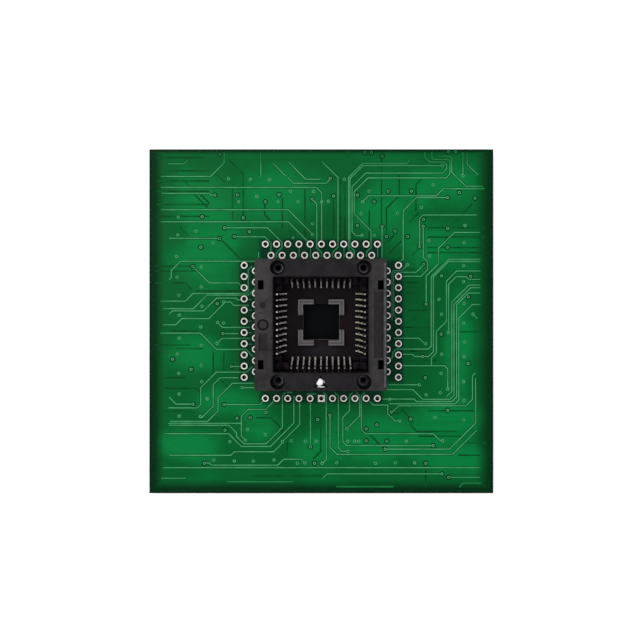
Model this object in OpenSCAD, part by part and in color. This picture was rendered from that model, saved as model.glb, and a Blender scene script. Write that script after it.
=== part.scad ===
// Open-top zero-insertion-force socket for a 44-lead J-lead chip carrier,
// soldered to a square adapter board with a staggered ring of plated holes.
//
// The cover frame is pressed down against four coil springs. Cam ribs under
// its beams push the horns of the spring contacts outwards, so the contact
// tips swing clear of the seat and the device drops in with no force.
//
// Frame: +Z up, origin on the surface the board stands on, below the middle
// of the socket. The side with the pin 1 arrow faces -Y.
// Heights named *_h are measured from the top face of the board.

/* [Board] */
// Side of the square board
board_size = 78; // [60:1:110]
// Thickness of the board
board_t = 1.6; // [1:0.1:2.4]
// Length of contact tail that stands out under the board
tail_out = 1.3; // [0.9:0.1:2]
// Thickness of the plated pads
pad_t = 0.05; // [0.03:0.01:0.1]

/* [Hole ring] */
// Pitch of the holes in one row
hole_pitch = 2.54; // [2.2:0.01:2.6]
// Holes in each outer row, one more than in the inner row
ring_holes = 11; // [5:2:11]
// Distance from a side of the socket to the outer row next to it
ring_gap = 3.6; // [3.4:0.1:8]
// Distance from an outer row to its inner row
ring_row_gap = 2.54; // [2.1:0.01:2.6]
// Finished diameter of a ring hole
hole_d = 1; // [0.7:0.05:1.1]
// Diameter of a ring pad
pad_d = 1.55; // [1.5:0.05:1.9]

/* [Contacts] */
// Contacts on each side
contacts_per_side = 11; // [5:2:11]
// Pitch of the contacts
contact_pitch = 1.27; // [1.2:0.01:1.27]
// Thickness of the contact strip
contact_t = 0.3; // [0.2:0.02:0.36]
// Distance from the middle of the socket to the closed contact tips
tip_r = 7.6; // [7.4:0.05:7.8]
// Height of the contact tips above the board
tip_h = 3.95; // [3.8:0.05:4.1]
// Height of the tops of the contact arms above the board
arm_top_h = 10.45; // [9:0.05:10.5]
// Angle that the contacts open by
open_angle = 16; // [8:1:16]
// Distance from the middle to the inner row of solder tails
tail_inner_r = 8.89; // [8.7:0.01:9.2]
// Distance from the middle to the outer row of solder tails
tail_outer_r = 11.43; // [11.2:0.01:11.5]
// Finished diameter of the holes that the tails are soldered into
tail_hole_d = 0.8; // [0.7:0.05:1]
// Diameter of the solder pads
tail_pad_d = 1.5; // [1.3:0.05:1.7]

/* [Socket body] */
// Thickness of the base plate
base_t = 3.2; // [3:0.05:3.25]
// Height of the seat pads above the board
seat_h = 4.65; // [4.4:0.05:4.9]
// Outer width of the square that the four seat pads mark out
seat_w = 10.2; // [9.8:0.1:11]
// Width of the square window between the seat pads
seat_window = 8; // [7:0.1:8.2]
// Length of each leg of an L-shaped seat pad
seat_leg = 3.5; // [2.5:0.1:4]
// Half the distance between the inner faces of the device guides
guide_r = 8.45; // [8.4:0.05:8.6]
// Height of the device guides above the board
guide_h = 8.6; // [7:0.1:9.5]
// Height of the partitions between the contacts above the base plate
partition_h = 2.1; // [1:0.1:2.2]

/* [Cover] */
// Height of the top of the cover above the board at rest
cover_top_h = 13.2; // [12.8:0.1:14]
// Travel of the cover
stroke = 2; // [1:0.1:2]
// Thickness of the cover's roof over the contacts
roof_t = 1; // [0.8:0.05:1]
// Width of the square mouth of the cover
mouth_w = 20; // [19.9:0.05:20.1]
// Width of the beams round the mouth
beam_w = 3.9; // [3.8:0.05:4.5]
// Depth of the recessed label fields
label_depth = 0.15; // [0.1:0.05:0.3]
// Width of the label fields
label_w = 1.8; // [1.2:0.1:2]
// Length of the label field on the right beam
right_label_l = 13.8; // [8:0.2:13.8]
// Length of the label field on the left beam
left_label_l = 3.6; // [2:0.2:3.8]
// Radius of the circle round the pin 1 arrow
arrow_r = 1.7; // [1:0.05:1.75]

/* [Guide posts and springs] */
// Distance from a post to the mouth's left or right edge, along X
post_inset = 0.9; // [0.7:0.05:0.95]
// Diameter of a guide post
post_d = 2.2; // [1.8:0.05:2.2]
// Bore of a guide post
post_bore_d = 1.2; // [0.8:0.05:1.3]
// Diameter of the round recess in the cover over each post
recess_d = 3.1; // [2.7:0.05:3.15]
// Wire diameter of the return springs
wire_d = 0.28; // [0.2:0.02:0.32]
// Turns of each return spring
spring_turns = 8; // [5:1:9]

/* [Latches] */
// Distance from a latch window's middle to the mouth's edge, along X
latch_outset = 2.6; // [2.55:0.05:2.65]
// Distance from the end of a row of contacts to the latch window next to it
latch_gap = 0.9; // [0.8:0.05:1]
// Length of a latch window along Y
latch_w = 1.95; // [1.6:0.05:2]
// Width of a latch window along X
latch_d = 1.2; // [1:0.05:1.2]

/* [Hidden] */
$fn = 48;
SIDES = [["east", 0], ["north", 90], ["west", 180], ["south", 270]];
CORNERS = [["ne", 1, 1], ["nw", -1, 1], ["sw", -1, -1], ["se", 1, -1]];
eps = 0.01;

// clearances
slide_gap = 0.1;      // between the cover and what it slides along
post_gap = 0.05;      // round a guide post in the cover
slot_gap = 0.06;      // on each side of a contact in its slot
seat_gap = 0.05;      // round the retainer and the seat insert
spring_gap = 0.12;    // between a spring and the post inside it
plating_t = 0.05;     // wall of a plated barrel

// levels
board_z = tail_out;                     // underside of the board
top_z = board_z + board_t;              // top face of the board
retainer_t = 0.8;
cover_bottom_h = base_t + stroke + slide_gap;
post_top_h = cover_top_h - stroke - 0.5;

// plan
socket_size = mouth_w + 2 * beam_w;
ring_span = socket_size + 2 * ring_gap; // between opposite outer rows
beam_r = (mouth_w + beam_w) / 2;        // middle of a beam
post_x = mouth_w / 2 - post_inset;
post_y = beam_r + 0.05;

// contact strip: a root loop round the pivot, a body, a tip, a tall arm and a horn
strip_w = 0.3;                          // width of the spring beam
loop_r = 0.55;                          // radius of the loop's middle line
split_angle = 0.5;                      // gap in the loop between the stem and the arm
pivot_r = tip_r + 1;
pivot_h = retainer_t + slide_gap / 2 + strip_w / 2 + loop_r;
arm_top_r = mouth_w / 2 - 0.38;         // outer edge of an arm's top
arm_w = 0.42;                           // width of an arm near its top
horn_out = 2.7;                         // reach of a horn beyond the pivot
horn_up = 3;                            // height of a horn above the base plate
horn_r = pivot_r + horn_out;            // centre of a horn's rounded end
horn_h = base_t + horn_up;
horn_end_r = 0.2;
anchor_r = tail_outer_r - 1.05;         // inner edge of the anchor block
anchor_end_r = tail_outer_r + 0.45;
anchor_h = base_t - 0.9;
tail_w = 0.32;
row_half = (contacts_per_side - 1) / 2 * contact_pitch + contact_t / 2;
slot_w = contact_t + 2 * slot_gap;
rib_inner_r = pivot_r + 0.4;            // partitions between the contacts
rib_outer_r = horn_r - 0.5;
rib_h = base_t + partition_h;

// cover cavity over each row of contacts
cavity_half = row_half + 0.45;
cavity_r = pivot_turn([arm_top_r, arm_top_h], open_angle)[0] + slide_gap;
// horn's place with the contacts open, seen from the cover at rest
horn_open = pivot_turn([horn_r, horn_h], open_angle) + [0, stroke];
cam_run = horn_open - [horn_r, horn_h];
cam_dir = cam_run / norm(cam_run);
cam_off = [-cam_dir[1], cam_dir[0]] * (horn_end_r + 0.03);
cam_start = [horn_r, horn_h] + cam_off;
cam_end = horn_open + cam_off + 0.3 * cam_dir;
cam_floor_h = horn_h + 0.25;            // underside of the cam rib
cam_rib_r = cam_start[0] - 0.18;        // inner face of the cam rib
skirt_r = horn_open[0] + horn_end_r + 0.25;

// latches
latch_x = mouth_w / 2 + latch_outset;
latch_y = row_half + latch_gap + latch_w / 2;
hook_r = latch_x + latch_d / 2;         // inner face of a hook's leg
barb_r = hook_r - 0.55;
lip_r = hook_r - slide_gap;
lip_h = base_t + 0.05;                  // underside of the catch lip
lip_t = 0.95;
notch_r = barb_r - 0.15;
barb_t = 0.85;
retainer_r = tail_outer_r + tail_pad_d / 2 + slide_gap; // half the side of the retainer
recess_depth = 2.3;                     // a post's top comes up into its recess
arrow_depth = 0.5;
arrow_shift = 0.35;                     // from the middle of the beam, away from the mouth
spring_od = post_d + 2 * spring_gap + 2 * wire_d;
spring_well_d = spring_od + 2 * spring_gap;
spring_top_h = cover_top_h - recess_depth - 1;

// turns a point of the strip about the pivot by the angle a, outwards
function pivot_turn(p, a) =
    let (d = p - [pivot_r, pivot_h])
    [pivot_r + d[0] * cos(a) + d[1] * sin(a), pivot_h + d[1] * cos(a) - d[0] * sin(a)];

// ---------------------------------------------------------------- helpers

module rounded_plate(w, r, h) {
    linear_extrude(h) {
        square([w, w - 2 * r], center = true);
        square([w - 2 * r, w], center = true);
        for (x = [-1, 1], y = [-1, 1])
            translate([x, y] * (w / 2 - r)) circle(r);
    }
}

// a bar of triangular section that bevels an edge of length l along X
module bevel_bar(l, c) {
    rotate([45, 0, 0]) cube([l, c * sqrt(2), c * sqrt(2)], center = true);
}

// stands a profile drawn as [distance from the middle, height] upright
module stand(t) {
    translate([0, 0, top_z]) rotate([90, 0, 0]) translate([0, 0, -t / 2])
        linear_extrude(t) children();
}

module each_contact() {
    for (i = [0 : contacts_per_side - 1]) {
        $odd = i % 2 == 1;
        translate([0, (i - (contacts_per_side - 1) / 2) * contact_pitch, 0]) children();
    }
}

module each_side() {
    for (s = SIDES) rotate(s[1]) children();
}

module each_ring_hole() {
    rows = [[ring_span / 2, ring_holes], [ring_span / 2 - ring_row_gap, ring_holes - 1]];
    for (s = SIDES, row = rows, i = [0 : row[1] - 1]) {
        // the hole of pin 1 is the middle one of the outer row next to the arrow
        $pin_1 = s[0] == "south" && row == rows[0] && i == (ring_holes - 1) / 2;
        rotate(s[1]) translate([row[0], (i - (row[1] - 1) / 2) * hole_pitch, 0]) children();
    }
}

module each_tail() {
    each_side() each_contact()
        translate([$odd ? tail_inner_r : tail_outer_r, 0, 0]) children();
}

module each_post() {
    for (c = CORNERS) translate([c[1] * post_x, c[2] * post_y, 0]) children();
}

module each_latch() {
    for (x = [0, 1], y = [-1, 1]) mirror([x, 0, 0]) translate([0, y * latch_y, 0]) children();
}

// a plated hole: a pad on each face and a barrel through the board
module eyelet(pad, bore, square_pad = false) {
    difference() {
        union() {
            for (z = [board_z - pad_t, top_z]) translate([0, 0, z]) {
                cylinder(d = pad, h = pad_t);
                if (square_pad) translate([-pad / 2, -pad / 2, 0]) cube([pad, pad, pad_t]);
            }
            translate([0, 0, board_z - eps]) cylinder(d = bore + 2 * plating_t, h = board_t + 2 * eps);
        }
        translate([0, 0, board_z - 1]) cylinder(d = bore, h = board_t + 2);
    }
}

// ---------------------------------------------------------------- board

module board() {
    color("#1f7a3d") difference() {
        translate([-board_size / 2, -board_size / 2, board_z]) cube([board_size, board_size, board_t]);
        each_ring_hole() translate([0, 0, board_z - 1])
            cylinder(d = hole_d + 2 * plating_t, h = board_t + 2);
        each_tail() translate([0, 0, board_z - 1])
            cylinder(d = tail_hole_d + 2 * plating_t, h = board_t + 2);
    }
}

module adapter_pads() {
    color("#e9e4d4") each_ring_hole() eyelet(pad_d, hole_d, $pin_1);
}

module socket_pads() {
    color("#e9e4d4") each_tail() eyelet(tail_pad_d, tail_hole_d);
}

// solder fills each tail's barrel and rises as a cone round the tail
module solder_joint() {
    cone_h = 0.75;
    difference() {
        union() {
            translate([0, 0, board_z - pad_t - cone_h])
                cylinder(d1 = tail_w + 0.3, d2 = tail_pad_d - 0.2, h = cone_h);
            translate([0, 0, board_z - pad_t - eps])
                cylinder(d = tail_hole_d, h = board_t + pad_t + eps);
        }
        translate([-tail_w / 2, -contact_t / 2, -1]) cube([tail_w, contact_t, top_z + 3]);
    }
}

module solder_joints() {
    color("#c9ccd0") each_tail() solder_joint();
}

// ---------------------------------------------------------------- contacts

// the quarter of the root loop from angle a to a + 90
module loop_quarter(a) {
    translate([pivot_r, pivot_h]) intersection() {
        difference() {
            circle(loop_r + strip_w / 2);
            circle(loop_r - strip_w / 2);
        }
        rotate(a) square(2);
    }
}

// fixed part of a contact: lower half of the loop, beam, anchor block and solder tail
module contact_stem(odd) {
    beam_h = pivot_h - loop_r;
    tail_r = odd ? tail_inner_r : tail_outer_r;
    stand(contact_t) {
        loop_quarter(180 + split_angle);
        translate([pivot_r - eps, beam_h - strip_w / 2]) square([anchor_r - pivot_r + 2 * eps, strip_w]);
        difference() {
            translate([anchor_r, beam_h - strip_w / 2])
                square([anchor_end_r - anchor_r, anchor_h - beam_h + strip_w / 2]);
            translate([anchor_r, anchor_h]) rotate(45) square(0.5, center = true);
        }
        translate([tail_r - tail_w / 2, -top_z]) square([tail_w, top_z + beam_h]);
    }
}

// moving part of a contact: upper half of the loop, body, tip, tall arm and horn
module contact_arm() {
    p = pivot_r;
    loop_top = pivot_h + loop_r;
    body_r = p + 0.8;                   // outer edge of the body
    leg_h = base_t + 0.8;               // underside of the leg to the horn
    bend_h = arm_top_h - 2;             // where the arm turns upright
    c = strip_w / 4;                    // small corners
    stand(contact_t) {
        loop_quarter(90);
        polygon([
            [p - eps, loop_top - strip_w / 2], [body_r - c, loop_top - strip_w / 2],
            [body_r + c, loop_top + strip_w], [body_r, leg_h - 2 * strip_w],
            // underside of the leg and outside of the horn
            [(body_r + horn_r) / 2, leg_h], [horn_r, leg_h + 2 * strip_w],
            [horn_r + horn_end_r, horn_h], [horn_r - horn_end_r, horn_h],
            [horn_r - strip_w - c, leg_h + 3 * strip_w], [horn_r - 3 * strip_w, leg_h + 2 * strip_w],
            [body_r + strip_w, leg_h + 2 * strip_w],
            // tall arm
            [arm_top_r - strip_w, leg_h + 5 * strip_w], [arm_top_r - c, bend_h],
            [arm_top_r, arm_top_h - 2 * c], [arm_top_r - c, arm_top_h],
            [arm_top_r - arm_w + c, arm_top_h], [arm_top_r - arm_w, arm_top_h - 2 * c],
            [arm_top_r - arm_w - strip_w * 2 / 3, bend_h], [p - strip_w / 2, tip_h + 7 * strip_w],
            [p - 2 * strip_w, tip_h + 2 * strip_w],
            // tip
            [tip_r + c / 2, tip_h + c], [tip_r, tip_h], [tip_r + c, tip_h - 2 * c],
            [p - strip_w, tip_h - strip_w], [p, base_t], [p + c, loop_top + 2 * strip_w],
            [p - eps, loop_top + strip_w / 2]
        ]);
        translate([horn_r, horn_h]) circle(horn_end_r, $fn = 24);
    }
}

module contact_stems(a) {
    color("#c9a44c") rotate(a) each_contact() contact_stem($odd);
}

module contact_arms(a) {
    color("#d9b45a") rotate(a) each_contact() contact_arm();
}

// ---------------------------------------------------------------- socket body

// the square ring that the L-shaped pads stand on, less the gaps between them
module seat_pads_2d(grow) {
    difference() {
        square(seat_w + 2 * grow, center = true);
        square(seat_window - 2 * grow, center = true);
        gap = seat_w - 2 * seat_leg - 2 * grow;
        square([gap, seat_w + 1], center = true);
        square([seat_w + 1, gap], center = true);
    }
}

module seat_insert() {
    ring_t = 0.9;
    color("#6f6d72") translate([0, 0, top_z + retainer_t]) {
        linear_extrude(ring_t) difference() {
            square(seat_w + 1.6, center = true);
            square(seat_window, center = true);
        }
        linear_extrude(seat_h - retainer_t) seat_pads_2d(0);
    }
}

module contact_retainer() {
    color("#2b2a2d") translate([0, 0, top_z]) difference() {
        // it stands clear of the pads below it
        translate([0, 0, pad_t]) linear_extrude(retainer_t - seat_gap - pad_t) difference() {
            square(2 * retainer_r, center = true);
            square(seat_window, center = true);
        }
        each_tail() cube([tail_w + 2 * slot_gap, slot_w, 3], center = true);
    }
}

// a device guide at one corner, open towards the middle
module device_guide() {
    guide_out = mouth_w / 2 - slide_gap - 0.05;
    inner = row_half + 0.4;
    difference() {
        translate([inner, inner, base_t - eps])
            cube([guide_out - inner, guide_out - inner, guide_h - base_t + eps]);
        translate([0, 0, base_t - 1]) cube([guide_r, guide_r, guide_h]);
        // lead-in slopes on the two inner faces
        for (a = [0, 1]) mirror([a, -a, 0])
            translate([guide_r, 0, guide_h]) rotate([0, 45, 0]) cube([1, mouth_w * 2, 1], center = true);
    }
}

module guide_post() {
    difference() {
        translate([0, 0, top_z + base_t - eps]) cylinder(d = post_d, h = post_top_h - base_t + eps);
        translate([0, 0, top_z + base_t + 1]) cylinder(d = post_bore_d, h = post_top_h);
        translate([0, 0, top_z + post_top_h - 0.25])
            cylinder(d1 = post_bore_d, d2 = post_bore_d + 0.6, h = 0.3);
    }
}

module base_plate() {
    difference() {
        rounded_plate(socket_size, 0.5, base_t);
        // recess for the retainer, pocket for the ring of the seat insert
        translate([0, 0, -eps]) linear_extrude(retainer_t + eps)
            square(2 * (retainer_r + seat_gap), center = true);
        translate([0, 0, retainer_t - eps]) linear_extrude(0.9 + seat_gap + eps)
            square(seat_w + 1.6 + 2 * seat_gap, center = true);
        translate([0, 0, -1]) linear_extrude(base_t + 2) {
            square(seat_window + 0.1, center = true);
            seat_pads_2d(seat_gap);
        }
        // slots for the contacts
        slot_in = pivot_r - loop_r - strip_w / 2 - 0.15;
        each_side() each_contact() translate([slot_in, -slot_w / 2, 0])
            cube([anchor_end_r + seat_gap - slot_in, slot_w, base_t + 1]);
        // notches for the cover's hooks
        each_latch() translate([notch_r, -latch_w / 2 - 0.2, -1])
            cube([socket_size, latch_w + 0.4, base_t + 2]);
    }
}

module base() {
    color("#2a272c") {
        translate([0, 0, top_z]) {
            base_plate();
            // partitions between the contacts
            each_side() for (i = [1 : contacts_per_side - 1])
                translate([rib_inner_r, (i - contacts_per_side / 2) * contact_pitch
                           - (contact_pitch - slot_w) / 2, base_t - eps])
                    cube([rib_outer_r - rib_inner_r, contact_pitch - slot_w, rib_h - base_t]);
            for (a = [0 : 90 : 270]) rotate(a) device_guide();
            // catch lips over the hook notches
            each_latch() translate([notch_r - 0.6, -latch_w / 2, base_t - eps])
                cube([0.6 - eps, latch_w, lip_h - base_t + 2 * eps]);
            each_latch() translate([notch_r - 0.6, -latch_w / 2, lip_h])
                cube([lip_r - notch_r + 0.6, latch_w, lip_t]);
        }
        each_post() guide_post();
    }
}

// ---------------------------------------------------------------- cover

// space under a beam for one row of contacts, with the cam groove for the horns
module row_cavity() {
    depth = 2 * cavity_half;
    roof_h = cover_top_h - roof_t;
    stand(depth) {
        polygon([
            [mouth_w / 2 - 1, cover_bottom_h - 1], [cam_rib_r, cover_bottom_h - 1],
            [cam_rib_r, cam_floor_h + 1.1], [cavity_r, cam_floor_h + 1.9],
            [cavity_r, roof_h], [mouth_w / 2 - 1, roof_h]
        ]);
        polygon([
            cam_start, cam_end, [skirt_r, cam_end[1]], [skirt_r, cover_bottom_h - 1],
            [cam_rib_r - eps, cover_bottom_h - 1], [cam_rib_r - eps, cam_floor_h], [cam_start[0], cam_floor_h]
        ]);
    }
}

module hook() {
    top = cover_bottom_h + 0.5;
    barb_h = lip_h - 0.05;
    leg_t = socket_size / 2 - hook_r;
    translate([hook_r, -latch_w / 2, top_z + barb_h - barb_t])
        cube([leg_t, latch_w, top - barb_h + barb_t]);
    translate([0, latch_w / 2, top_z]) rotate([90, 0, 0]) linear_extrude(latch_w)
        polygon([[hook_r + eps, barb_h], [barb_r, barb_h], [barb_r, barb_h - 0.25],
                 [hook_r - 0.05, barb_h - barb_t], [hook_r + eps, barb_h - barb_t]]);
}

// equilateral arrow that points at the mouth, of height h on the recess's floor
module pin1_arrow(r, h) {
    translate([0, -beam_r - arrow_shift, top_z + cover_top_h - arrow_depth])
        rotate(90) cylinder(r = r, h = h, $fn = 3);
}

module label_fields() {
    mark_d = 2.4;
    label_gap = 1.2;
    translate([0, 0, top_z + cover_top_h - label_depth]) {
        translate([beam_r + 0.15 - label_w / 2, -right_label_l / 2, 0])
            cube([label_w, right_label_l, 1]);
        translate([-beam_r - 0.1 - label_w / 2, -mark_d - label_gap - left_label_l / 2, 0])
            cube([label_w, left_label_l, 1]);
        // round marks left by the mould's ejector and gate
        translate([-beam_r - 0.2, 0, -label_depth]) difference() {
            cylinder(d = mark_d, h = 1);
            translate([0, 0, -1]) cylinder(d = mark_d - 0.7, h = 1 + label_depth);
        }
        translate([-beam_r - 0.2, mark_d + label_gap + 0.5, 0]) cylinder(d = mark_d - 1, h = 1);
    }
}

module cover() {
    height = cover_top_h - cover_bottom_h;
    bevel = 0.25;
    color("#3a393c") {
        difference() {
            translate([0, 0, top_z + cover_bottom_h]) rounded_plate(socket_size, 0.5, height);
            translate([0, 0, top_z]) linear_extrude(cover_top_h + 1) square(mouth_w, center = true);
            each_side() row_cavity();
            // bevels round the top and round the mouth
            for (a = [0 : 90 : 270]) rotate(a) {
                translate([0, socket_size / 2, top_z + cover_top_h]) bevel_bar(socket_size + 1, bevel);
                translate([0, mouth_w / 2, top_z + cover_top_h]) bevel_bar(mouth_w, bevel);
            }
            // guide bores, recesses over them and spring wells under them
            each_post() {
                translate([0, 0, top_z]) cylinder(d = post_d + 2 * post_gap, h = cover_top_h);
                translate([0, 0, top_z + cover_top_h - recess_depth]) cylinder(d = recess_d, h = recess_depth + 1);
                translate([0, 0, top_z]) cylinder(d = spring_well_d, h = spring_top_h);
            }
            // latch windows, and pockets that clear the catch lips
            each_latch() {
                translate([latch_x - latch_d / 2, -latch_w / 2, top_z])
                    cube([latch_d, latch_w, cover_top_h + 1]);
                translate([notch_r - 0.7, -latch_w / 2 - 0.1, top_z])
                    cube([hook_r - notch_r + 0.7, latch_w + 0.2, lip_h + lip_t + stroke + slide_gap]);
            }
            label_fields();
            pin1_arrow(arrow_r, 1);
        }
        each_latch() hook();
    }
}

module pin1_mark() {
    color("#f2f1ec") pin1_arrow(arrow_r - 0.12, arrow_depth - 0.12);
}

// ---------------------------------------------------------------- springs

// a closed helix of round wire, swept as one polyhedron
module return_spring() {
    steps = 14;
    faces = 6;
    r = spring_od / 2 - wire_d / 2;
    z0 = top_z + base_t + wire_d / 2;
    z1 = top_z + spring_top_h - wire_d / 2;
    n = steps * spring_turns;
    // the pitch grows from a closed turn at each end
    function rise(u) = let (e = 1 / spring_turns, k = 0.35)
        u < e ? k * u : u > 1 - e ? 1 - k * (1 - u) : k * e + (u - e) * (1 - 2 * k * e) / (1 - 2 * e);
    pts = [for (i = [0 : n], j = [0 : faces - 1])
        let (u = i / n, a = 360 * spring_turns * u, b = 360 * j / faces,
             q = r + wire_d / 2 * cos(b))
        [q * cos(a), q * sin(a), z0 + (z1 - z0) * rise(u) + wire_d / 2 * sin(b)]];
    sides = [for (i = [0 : n - 1], j = [0 : faces - 1])
        [i * faces + j, i * faces + (j + 1) % faces,
         (i + 1) * faces + (j + 1) % faces, (i + 1) * faces + j]];
    ends = [[for (j = [faces - 1 : -1 : 0]) j], [for (j = [0 : faces - 1]) n * faces + j]];
    color("#b9bcc2") polyhedron(pts, concat(sides, ends), convexity = 8);
}

// ---------------------------------------------------------------- parts

board();
adapter_pads();
socket_pads();
solder_joints();
base();
contact_retainer();
seat_insert();
cover();
pin1_mark();
for (c = CORNERS)
    translate([c[1] * post_x, c[2] * post_y, 0]) return_spring();
for (s = SIDES) {
    contact_stems(s[1]);
    contact_arms(s[1]);
}
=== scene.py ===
"""Looks of an open-top zero-insertion-force socket on its square adapter board."""

import logging
import math
from dataclasses import dataclass, field
from enum import Enum
from itertools import product

import bmesh
import bpy
from mathutils import Matrix, Vector


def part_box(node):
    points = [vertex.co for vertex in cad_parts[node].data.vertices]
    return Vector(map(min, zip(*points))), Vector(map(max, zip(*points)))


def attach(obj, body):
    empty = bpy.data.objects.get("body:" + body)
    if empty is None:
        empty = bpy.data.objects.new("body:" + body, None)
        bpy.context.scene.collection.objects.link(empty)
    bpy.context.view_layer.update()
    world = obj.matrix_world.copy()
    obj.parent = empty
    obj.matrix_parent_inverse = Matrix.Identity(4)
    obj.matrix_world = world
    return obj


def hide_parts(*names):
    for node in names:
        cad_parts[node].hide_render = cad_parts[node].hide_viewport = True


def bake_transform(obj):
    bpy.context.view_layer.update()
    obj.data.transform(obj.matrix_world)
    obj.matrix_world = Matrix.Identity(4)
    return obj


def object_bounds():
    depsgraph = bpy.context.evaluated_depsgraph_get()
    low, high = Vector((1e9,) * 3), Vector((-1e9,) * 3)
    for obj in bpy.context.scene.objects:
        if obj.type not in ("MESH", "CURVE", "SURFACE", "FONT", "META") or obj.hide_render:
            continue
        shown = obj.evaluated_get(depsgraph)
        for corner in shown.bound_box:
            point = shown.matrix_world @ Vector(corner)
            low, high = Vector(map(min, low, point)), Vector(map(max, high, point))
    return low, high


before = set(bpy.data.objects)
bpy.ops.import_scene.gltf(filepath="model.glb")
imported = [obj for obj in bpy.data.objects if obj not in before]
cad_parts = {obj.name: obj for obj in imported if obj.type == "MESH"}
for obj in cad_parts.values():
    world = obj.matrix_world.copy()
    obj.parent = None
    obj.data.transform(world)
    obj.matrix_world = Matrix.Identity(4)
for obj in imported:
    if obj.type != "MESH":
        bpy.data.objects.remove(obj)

LOG = logging.getLogger("zif_socket")
MM = 0.001
# the band of bare laminate round the socket fades between these distances from the middle
BAND_EDGE = (17.9 * MM, 19.2 * MM)
BAND_CORNER = (13.2 * MM, 14.8 * MM)
# corners nearer to each other than this are welded before an edge is rounded
WELD_GAP = 0.002 * MM
# edges that turn by less than this stay as they are
SHARP_ANGLE = math.radians(40)
# the smallest cosine that a track's mitre is worked out with, so that no corner runs away
MITRE_LIMIT = 0.5
CAD_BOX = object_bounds()
Colour = tuple[float, float, float, float]


class Body(Enum):
    """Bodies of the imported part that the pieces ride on."""

    BASE = "socket_base"
    COVER = "cover"


class Slot(Enum):
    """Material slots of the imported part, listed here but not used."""

    MASK = "board_mask"
    STEEL = "spring_steel"
    MARK = "mark_white"


class Heading(Enum):
    """The eight directions that a track can run in, as steps along X and Y."""

    N = (0, 1)
    NE = (1, 1)
    E = (1, 0)
    SE = (1, -1)
    S = (0, -1)
    SW = (-1, -1)
    W = (-1, 0)
    NW = (-1, 1)


def tone(red: int, green: int, blue: int) -> Colour:
    """Turns a display colour into a linear one.

    Args:
        red: Red from 0 to 255.
        green: Green from 0 to 255.
        blue: Blue from 0 to 255.

    Returns:
        The linear colour with an alpha of 1.
    """

    def linear(value: int) -> float:
        """Returns one channel in linear light."""
        share = value / 255
        return share / 12.92 if share <= 0.04045 else ((share + 0.055) / 1.055) ** 2.4

    return (linear(red), linear(green), linear(blue), 1.0)


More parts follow.
